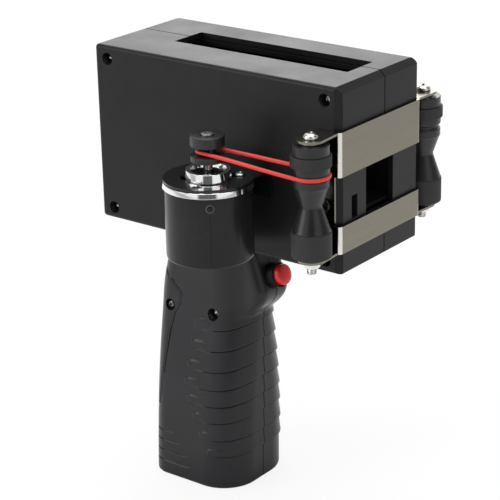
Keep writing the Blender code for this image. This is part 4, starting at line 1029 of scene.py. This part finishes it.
def make_pulley():
    low, high = PULLEY_LOW.z, PULLEY_HIGH.z
    upper, lower = PULLEY_GROOVE_HEIGHT + 2.4, PULLEY_GROOVE_HEIGHT - 1.7
    profile = [(2.3, 181.9), (2.9, 181.9), (2.9, high), (PULLEY_RADIUS, high), (PULLEY_RADIUS, upper)]
    profile += [(PULLEY_GROOVE, upper - 0.8), (PULLEY_GROOVE, lower + 0.4), (PULLEY_RADIUS, lower)]
    profile += [(PULLEY_RADIUS, low), (2.3, low)]
    bm = turned(profile, (0, 0, 0), 0.35, 240)
    tall = [e for e in bm.edges if abs(e.verts[0].co.z - e.verts[1].co.z) > 1.2]
    rim = [e for e in tall if min(Vector(v.co[:2]).length for v in e.verts) > PULLEY_RADIUS - 0.05]
    bmesh.ops.subdivide_edges(bm, edges=rim, cuts=8)
    for vert in bm.verts:
        flat = Vector(vert.co[:2])
        heights = ((low, lower), (upper, high))
        inside = max(min(vert.co.z - a, b - vert.co.z) for a, b in heights)
        if flat.length > PULLEY_RADIUS - 0.05 and inside > 0.35:
            around = math.atan2(flat.y, flat.x) * KNURLS
            wave = math.cos(around + vert.co.z * 4) * math.cos(around - vert.co.z * 4)
            vert.co.xy = flat * (1 - KNURL_DEPTH * (0.5 + 0.5 * wave) / PULLEY_RADIUS)
    put(bm, ENCODER_PLACE)
    add_piece("belt_pulley", bm, "encoder_rotor", ROLLER_PLASTIC, ["drive_pulley"], 35)
    low, high = box_mm("pulley_screw")
    screw = turned([(0, high.z), (2.6, high.z), (2.6, low.z), (0, low.z)], (0, 0, 0), 0.35, 64)
    screw = put(carve(screw, cross_recess(2.6, 0.8, high.z)), ENCODER_PLACE)
    add_piece("pulley_cap_screw", screw, "encoder_rotor", DULL_ZINC, ["pulley_screw"], 35)


# %% Stretch the belt
BELT_RADIUS = 0.85
BELT_SIDES = 14


def belt_points():
    """The belt's centre line as a closed loop, from the pulley along a strand to the roller and back."""
    first, second = Vector(ENCODER[:2]), Vector(NEAR_AXLE[:2])
    near_reach = PULLEY_GROOVE + BELT_RADIUS
    far_reach = GROOVE + BELT_RADIUS
    along = second - first
    heading = math.atan2(along.y, along.x)
    lean = math.acos((near_reach - far_reach) / along.length)
    on_pulley = lambda a: first + near_reach * Vector((math.cos(a), math.sin(a)))
    on_roller = lambda a: second + far_reach * Vector((math.cos(a), math.sin(a)))
    points = []
    for k in range(41):
        spot = on_pulley(heading + lean + (2 * math.pi - 2 * lean) * k / 40)
        points.append(Vector((*spot, PULLEY_GROOVE_HEIGHT)))
    points += strand(on_pulley(heading - lean), on_roller(heading - lean), True)
    for k in range(41):
        spot = on_roller(heading - lean + 2 * lean * k / 40)
        points.append(Vector((*spot, GROOVE_HEIGHT)))
    points += strand(on_roller(heading + lean), on_pulley(heading + lean), False)
    return points


def strand(start, end, downhill):
    """The points between two tangent places, easing from one groove's height to the other's."""
    heights = (PULLEY_GROOVE_HEIGHT, GROOVE_HEIGHT) if downhill else (GROOVE_HEIGHT, PULLEY_GROOVE_HEIGHT)
    points = []
    for k in range(1, 40):
        share = k / 40
        eased = 0.35 * share * share * (3 - 2 * share) + 0.65 * share
        spot = start.lerp(end, share)
        points.append(Vector((*spot, heights[0] + (heights[1] - heights[0]) * eased)))
    return points


def make_belt():
    path = belt_points()
    bm = bmesh.new()
    rings = []
    turns = [2 * math.pi * k / BELT_SIDES for k in range(BELT_SIDES)]
    for i, point in enumerate(path):
        tangent = (path[(i + 1) % len(path)] - path[i - 1]).normalized()
        across = tangent.cross(Vector((0, 0, 1))).normalized()
        above = across.cross(tangent)
        spots = [point + BELT_RADIUS * (across * math.cos(a) + above * math.sin(a)) for a in turns]
        rings.append([bm.verts.new(spot) for spot in spots])
    for ring, following in zip(rings, rings[1:] + rings[:1]):
        for k in range(BELT_SIDES):
            after = (k + 1) % BELT_SIDES
            bm.faces.new((ring[k], ring[after], following[after], following[k]))
    add_piece("red_belt", bm, "printer", BELT_RUBBER, ["drive_belt"], 60)
    length = sum((path[i] - path[i - 1]).length for i in range(len(path)))
    print("belt length", round(length, 1), "mm")


make_pulley()
make_belt()


# %% [markdown]
# ## The grip
# The grip's section is a rounded rectangle that widens towards the base. A ray from a point inside it meets
# the surface once at every angle, so the whole skin is a table of ray lengths: one row for each height and
# one column for each angle. The trigger's nose is blended in with a smooth union before the rays are
# measured, and the finger ribs and grooves are pushed out of or into the skin along the same rays. Both
# halves and the back strap are cut from this one surface.

# %% Describe the grip's section
GRIP_ROWS = (
    (0.0, 24.1, -24.1, 23.8),
    (16.0, 24.4, -23.7, 23.5),
    (32.0, 24.8, -23.3, 22.9),
    (48.0, 25.2, -23.2, 21.6),
    (64.0, 25.5, -23.2, 19.6),
    (80.0, 25.6, -23.0, 17.4),
    (95.0, 25.4, -21.8, 16.5),
    (106.0, 25.2, -19.2, 16.4),
    (124.7, 25.0, -14.5, 16.4),
)
GRIP_TOP = box_mm("near_grip")[1].z
NOSE_ROWS = (
    (80.0, 14.0),
    (83.5, 22.0),
    (86.0, 26.4),
    (89.0, 30.0),
    (92.5, 32.6),
    (96.0, 33.7),
    (100.0, 32.9),
    (103.1, 31.9),
    (111.0, 29.3),
    (118.0, 27.2),
    (124.7, 26.0),
)
NOSE_HALF = 11.0
NOSE_ROUND = 5.0
BLEND = 3.2
RAY_START = 4.0  # the rays leave from this x, in the grip's middle plane


def eased_table(rows, heights):
    """Each column of a table at the given heights, along a smooth curve through its rows."""
    table = np.array(rows)
    known, values = table[:, 0], table[:, 1:]
    slopes = np.gradient(values, known, axis=0)
    index = np.clip(np.searchsorted(known, heights) - 1, 0, len(known) - 2)
    span = known[index + 1] - known[index]
    t = np.clip((heights - known[index]) / span, 0, 1)
    start, end = 2 * t**3 - 3 * t**2 + 1, 3 * t**2 - 2 * t**3
    leave, arrive = (t**3 - 2 * t**2 + t) * span, (t**3 - t**2) * span
    found = []
    for column, slope in zip(values.T, slopes.T):
        here = start * column[index] + leave * slope[index]
        found.append(here + end * column[index + 1] + arrive * slope[index + 1])
    return found


def rounded_distance(x, y, centre, half_x, half_y, corner):
    """Distance to a rounded rectangle, negative inside it."""
    across = np.abs(x - centre) - half_x + corner
    up = np.abs(y) - half_y + corner
    outside = np.hypot(np.maximum(across, 0), np.maximum(up, 0))
    return outside + np.minimum(np.maximum(across, up), 0) - corner


def grip_distance(x, y, height, inset):
    front, back, half = eased_table(GRIP_ROWS, height)
    centre = (front + back) / 2
    front_corner = 17.5 - 3.0 * height / GRIP_TOP
    corner = np.where(x > centre, front_corner, 8.0)
    skin = rounded_distance(x, y, centre, (front - back) / 2, half, corner)
    (nose_front,) = eased_table(NOSE_ROWS, height)
    nose_front = np.where(height < NOSE_ROWS[0][0], 6.0, nose_front)
    half_nose = nose_front / 2
    nose = rounded_distance(x, y, half_nose, half_nose, NOSE_HALF, np.minimum(NOSE_ROUND, half_nose))
    share = np.clip(0.5 + 0.5 * (nose - skin) / BLEND, 0, 1)
    blended = nose + (skin - nose) * share - BLEND * share * (1 - share)
    return blended + inset


def ray_lengths(angles, heights, inset=0.0):
    """How far along each ray the skin is, found by halving the gap between an inner and an outer point."""
    shape = np.broadcast_shapes(angles.shape, heights.shape)
    inside, outside = np.full(shape, 0.5), np.full(shape, 60.0)
    for _ in range(26):
        middle = (inside + outside) / 2
        x = RAY_START + middle * np.cos(angles)
        y = middle * np.sin(angles)
        within = grip_distance(x, y, np.broadcast_to(heights, shape), inset) < 0
        inside = np.where(within, middle, inside)
        outside = np.where(within, outside, middle)
    return (inside + outside) / 2


# %% [markdown]
# Eight ribs wrap the front of the grip like roof tiles. Each is fullest at its lower edge, where it steps
# back in, and fades out upwards. Towards the palm each rib dips a few millimetres and ends in a small
# half-round tip. The rows of the skin follow that dip, so every step falls between two rows and stays crisp.

# %% Shape the ribs and grooves
RIB_HEIGHTS = (81.8, 72.3, 62.6, 53.6, 44.7, 36.3, 26.6, 17.8)  # at the front seam
DIP_HEIGHTS = (8.0, 17.8, 26.6, 36.3, 44.7, 53.6, 62.6, 81.8, 97.0)
DIPS = (0.0, 1.5, 2.3, 3.6, 3.9, 5.0, 5.5, 5.2, 0.0)  # how far a row dips at each of those heights
RIB_TIPS = (0.3, -0.8, -2.5, -3.8, -1.7, 1.5, 5.2, 9.4)  # how far back each rib reaches, as x
RIB_DEPTH = 0.85
RIB_LIP = 0.42  # a groove under each step
RIB_TIP = 3.7
RIB_REACH = 8.2
BACK_GROOVES = ((24.4, -8.2), (19.0, -4.4), (12.9, -0.7), (6.9, 1.1))  # row, and the x where each fades out
STRAP_LINE = (
    (-23.0, 32.5),
    (-18.8, 32.5),
    (-15.8, 54.7),
    (-13.5, 72.0),
    (-11.3, 81.0),
    (-8.3, 85.0),
    (-7.5, 91.2),
    (-15.9, 99.3),
    (-21.0, 104.2),
)


def smooth(value, low, high):
    share = np.clip((value - low) / (high - low), 0, 1)
    return share * share * (3 - 2 * share)


def row_tilt(angles, heights):
    """How far a row dips below its height at the front seam as it runs back round the grip."""
    share = 1 - np.exp(-((np.degrees(np.abs(angles)) / 50) ** 2))
    return -np.interp(heights, DIP_HEIGHTS, DIPS) * share


def front_arc(x, y):
    """The distance along the skin from the front seam, near enough for placing the ribs' tips."""
    steps = np.hypot(np.diff(x, axis=1), np.diff(y, axis=1))
    return np.concatenate([np.zeros((x.shape[0], 1)), np.cumsum(steps, axis=1)], axis=1)


def rib_field(x, arc, heights):
    """How far the ribs stand out of the skin."""
    field = np.zeros_like(x)
    for rib, tip in zip(RIB_HEIGHTS, RIB_TIPS):
        above = heights - rib
        row = int(np.argmin(np.abs(heights[:, 0] - rib)))
        on_flank = x[row] > tip
        reach = arc[row][on_flank].max() if on_flank.any() else 0.0
        along = reach - arc
        spread = smooth(along, 1.0, 15.0)
        start = (RIB_TIP - 0.35) * (1 - spread)
        end = (RIB_TIP + 0.35) * (1 - spread) + RIB_REACH * spread
        fade = np.clip((above - start) / (end - start), 0, 1)
        plateau = 1 - np.where(spread > 0.5, fade, fade * fade * (3 - 2 * fade))
        radius = RIB_TIP / 2
        gap = np.hypot(np.maximum(radius - along, 0), above - radius) - radius
        rounding = np.where(along < radius, 1 - smooth(gap, -0.35, 0.35), 1.0)
        inside = (above > 0) & (above < 9.0)
        depth = RIB_DEPTH * (0.6 + 0.4 * spread)
        field += np.where(inside, plateau * rounding * depth, 0.0)
        lip = np.exp(-(((above + 0.3) / 0.28) ** 2)) * smooth(along, 0.0, 2.0)
        field -= RIB_LIP * lip * (0.25 + 0.75 * spread)
    return field


def groove_field(x, heights):
    """Four short level grooves wrap the back of the grip low down, and fade out on the flank."""
    field = np.zeros_like(x)
    for height, end in BACK_GROOVES:
        line = np.exp(-(((heights - height) / 0.26) ** 2))
        field -= 0.5 * line * (1 - smooth(x, end - 6.0, end))
    return field


def strap_distance(x, z):
    """Signed distance to the strap's edge in side view: positive on the strap."""
    nearest = np.full(x.shape, 1e9)
    sign = np.ones(x.shape)
    for (ax, az), (bx, bz) in zip(STRAP_LINE, STRAP_LINE[1:]):
        length = (bx - ax) ** 2 + (bz - az) ** 2
        share = np.clip(((x - ax) * (bx - ax) + (z - az) * (bz - az)) / length, 0, 1)
        gap = np.hypot(x - ax - share * (bx - ax), z - az - share * (bz - az))
        turn = (bx - ax) * (z - az) - (bz - az) * (x - ax)
        closer = gap < nearest
        nearest = np.where(closer, gap, nearest)
        sign = np.where(closer, np.sign(turn), sign)
    return nearest * sign


# %% [markdown]
# The skin of one half runs from the front seam to the back seam. Its first and last columns are pulled in by
# a quarter of a millimetre, which leaves the fine parting line that a two-part moulding shows.

# %% Cut the grip from its surface
SEAM = 0.07
STRAP_DEPTH = 1.9
COLLAR = 5.7
TRIGGER_PLACE = Vector((31.9, 0.0, 103.1))
TILT = Matrix.Rotation(math.radians(90 - 18), 4, "Y")


def column_angles():
    """Angles from the front seam to the back seam, closer together round the nose and the front corner."""
    fine = np.radians(np.linspace(0.9, 112, 190))
    coarse = np.radians(np.linspace(113.2, 179.3, 62))
    return np.concatenate([[0.0], fine, coarse, [math.pi]])


def row_heights():
    """Nominal heights from the base to the top, with a close pair of rows at the foot of each rib."""
    rows = [0.0, 0.25, 0.7, 1.3, 2.2]
    rows += list(np.arange(3.0, GRIP_TOP - 0.2, 0.62))
    for rib in RIB_HEIGHTS:
        rows = [r for r in rows if not rib - 1.1 < r < rib + 0.4]
        rows += [rib - 1.0, rib - 0.7, rib - 0.5, rib - 0.35, rib - 0.2, rib - 0.05, rib + 0.05, rib + 0.3]
    for groove, _ in BACK_GROOVES:
        rows = [r for r in rows if abs(r - groove) > 0.55]
        rows += [groove + step for step in (-0.5, -0.3, -0.15, 0.0, 0.15, 0.3, 0.5)]
    return np.array(sorted({round(r, 3) for r in rows} | {round(GRIP_TOP, 3)}))


def grip_skin(side, inset=0.0, detailed=True):
    """The points of one half's skin, as arrays of x, y and z. A plain skin has fewer of them."""
    step = 1 if detailed else 3
    angles = np.append(column_angles()[:-1:step], math.pi)[None, :]
    rows = np.append(row_heights()[:-1:step], GRIP_TOP)[:, None]
    heights = rows + row_tilt(angles, rows)
    reach = ray_lengths(angles, heights, inset)
    x = RAY_START + reach * np.cos(angles)
    y = reach * np.sin(angles)
    if detailed:
        nominal = np.broadcast_to(rows, x.shape)
        raised = rib_field(x, front_arc(x, y), nominal)
        raised += groove_field(x, nominal)
        edge = strap_distance(x, heights)
        raised -= 0.6 * np.where(edge > 0, 1 - smooth(edge, 0.9, 1.5), 0.0)
        raised -= 0.9 * (1 - smooth(rows, 0.0, 1.3)) ** 2
        raised[:, (0, -1)] -= 0.28
        x = x + raised * np.cos(angles)
        y = y + raised * np.sin(angles)
    return x, side * (y + SEAM), np.broadcast_to(heights, x.shape)


def half_solid(side, inset=0.0, detailed=True):
    """A closed solid: the skin, a flat face along the seam, and the two ends."""
    x, y, z = grip_skin(side, inset, detailed)
    y = y.copy()
    y[:, (0, -1)] = side * SEAM
    bm = bmesh.new()
    grid = [[bm.verts.new((x[i, j], y[i, j], z[i, j])) for j in range(x.shape[1])] for i in range(x.shape[0])]
    for low, high in zip(grid, grid[1:]):
        for j in range(len(low) - 1):
            bm.faces.new((low[j], low[j + 1], high[j + 1], high[j]))
        bm.faces.new((low[0], high[0], high[-1], low[-1]))
    bm.faces.new(grid[0])
    bm.faces.new(grid[-1])
    bmesh.ops.recalc_face_normals(bm, faces=bm.faces)
    return bm


def outline_prism(points, low_y, high_y):
    return extrude([(x, low_y, z) for x, z in points], (0, high_y - low_y, 0))


def strap_prism(side, gap=0.0):
    """The strap's region in side view, out past the back of the grip."""
    points = [(-40.0, STRAP_LINE[0][1])] + list(STRAP_LINE) + [(-40.0, STRAP_LINE[-1][1])]
    middle = Vector((-30.0, 70.0))
    pulled = [Vector(p) + (middle - Vector(p)).normalized() * gap for p in points]
    reach = (SEAM, 40.0) if side > 0 else (-40.0, -SEAM)
    return outline_prism([tuple(p) for p in pulled], *reach)


def grip_half(side, node, name):
    """One moulded half, cut for the strap, the screws, the trigger and the hatch."""
    bm = half_solid(side)
    bed = carve(strap_prism(side), [half_solid(side, STRAP_DEPTH, False)])
    cutters = [bed]
    screw, strap_screw = middle_mm("grip_screw"), middle_mm("near_strap_screw")
    turn = FACING_NEAR if side < 0 else FACING_FAR
    if side < 0:
        cutters.append(rod(2.9, 11.0, 30.0, (screw.x, 0, screw.z), turn))
    cutters.append(rod(2.5, abs(strap_screw.y) - 0.5, 30.0, (strap_screw.x, 0, strap_screw.z), turn))
    hatch_low, hatch_high = box_mm("battery_hatch")
    gap = Vector((0.3, 0.3, 0.3))
    cutters.append(block(hatch_low - gap - Vector((0, 0, 2)), hatch_high + gap))
    cutters.append(rod(COLLAR + 0.15, -3, 12, TRIGGER_PLACE, TILT, 64))
    bm = carve(bm, cutters)
    add_piece(name, bm, "printer", GRIP_PLASTIC, [node], 26)


def back_strap():
    """The strap lies in its bed, a little below the skin along its edge."""
    halves = []
    for side in (-1, 1):
        shell = carve(half_solid(side), [half_solid(side, STRAP_DEPTH - 0.3, False)])
        screw = middle_mm("near_strap_screw")
        hole = rod(2.8, 5, 30.0, (screw.x, 0, screw.z), FACING_NEAR if side < 0 else FACING_FAR)
        halves.append(carve(carve(shell, [strap_prism(side, 0.5)], "INTERSECT"), [hole]))
    add_piece("rubber_strap", merge(*halves), "printer", GRIP_PLASTIC, ["back_strap"], 26)


grip_half(-1, "near_grip", "grip_half_near")
grip_half(1, "far_grip", "grip_half_far")
back_strap()
print("grip made")


# %% [markdown]
# ## Trigger, screws and base
# The trigger is a red button in a black collar, tilted up by 18 degrees. It is drawn upright and then turned.

# %% Make the trigger
def make_trigger():
    collar = turned([(4.95, -2.5), (COLLAR, -2.5), (COLLAR, 4.3), (4.95, 4.3)], TRIGGER_PLACE, 0.5, 96, TILT)
    add_piece("trigger_ring", collar, "printer", POCKET_PLASTIC_AND_SHADE, ["trigger_collar"], 30, True)
    dome = [(0, 7.32), (2.2, 7.28), (4.1, 7.1), (4.4, 6.95), (4.58, 6.7), (4.65, 6.3)]
    cap = turned([*dome, (4.65, 1.0), (0, 1.0)], TRIGGER_PLACE, 0.0, 96, TILT)
    add_piece("trigger_cap", cap, "trigger", BUTTON_PLASTIC, ["trigger_button"], 50, True)


make_trigger()
add_screw("grip_screw", 2.6, 1.8, 1.4, (0, -1, 0), ZINC, proud=1.5)
# The strap screws are dark zinc, darkened to paint the shade of the holes they sit in.
add_screw("near_strap_screw", 1.7, 1.2, 1.1, (0, -1, 0), DARK_ZINC_AND_SHADE)
add_screw("far_strap_screw", 1.7, 1.2, 1.1, (0, 1, 0), DARK_ZINC_AND_SHADE)
print("trigger made")


# %% [markdown]
# ## Inside the pocket, and the back end
# The cartridge slides down two rails and meets a board with gilded pads. The screen side and the back end are
# not seen from the front, so they stay simple: a sheet of black glass over a slightly lighter panel, a
# latching power button in a bright ring, a data socket and a charging socket.

# %% Fit the pocket and the screen
def make_pocket_details():
    start, end, far = SLOT_LOW[0] + 2, SLOT_HIGH[0] - 1, SLOT_HIGH[1]
    rails = [block((start, far - 0.7, z), (end, far + 0.3, z + 1.1)) for z in (196.5, 187.0)]
    add_piece("pocket_rails", soften(merge(*rails), 0.15), "printer", POCKET_PLASTIC_AND_SHADE)
    low, high = box_mm("contact_board")
    pads = []
    for row in range(7):
        for column in range(3):
            y, z = low.y + 2.5 + column * 4.0, low.z + 4.0 + row * 5.2
            pads.append(block((high.x - 0.05, y, z), (high.x + 0.12, y + 2.4, z + 3.4)))
    add_piece("contact_pads", merge(*pads), "printer", BRASS)


def make_screen():
    low, high = box_mm("touch_screen")
    bm = block(low, high)
    corners = [e for e in bm.edges if abs(e.verts[0].co.y - e.verts[1].co.y) > 0.5]
    bmesh.ops.bevel(bm, geom=corners, offset=2.5, segments=8, profile=0.5, affect="EDGES")
    bm = soften(bm, 0.3, 3)
    window = block((low.x + 6, high.y - 0.12, low.z + 6), (high.x - 6, high.y + 1, high.z - 6))
    bm = carve(bm, [window])
    add_piece("screen_sheet", bm, "printer", GLASS, ["touch_screen"], 32, True)
    panel = block((low.x + 6.02, high.y - 0.3, low.z + 6.02), (high.x - 6.02, high.y - 0.02, high.z - 6.02))
    add_piece("screen_panel", soften(panel, 0.05), "printer", PANEL)


def dress(finish, *nodes):
    """Gives a finish to solids of the model that are shown as they are."""
    for node in nodes:
        mesh = NODES[node].data
        mesh.materials.clear()
        mesh.materials.append(finish)
        mesh.shade_smooth()
        mesh.set_sharp_from_angle(angle=math.radians(30))


make_pocket_details()
make_screen()
dress(POCKET_PLASTIC_AND_SHADE, "cartridge_pocket", "print_sensor", "display_module", "trigger_switch", "code_disc")
dress(BOARD_GREEN, "main_board", "power_board", "contact_board", "encoder_board")
dress(ZINC, "power_ring", "charge_socket", "usb_socket", "grip_bolt_1", "grip_bolt_2", "encoder_bearing")
dress(FLANGE_METAL, "encoder_shaft")
dress(ROLLER_PLASTIC, "power_button")
dress(GRIP_PLASTIC, "battery_hatch")
dress(CELL_WRAP, "battery_cell_1", "battery_cell_2")
dress(BRASS, "cell_contacts")
print("everything dressed")
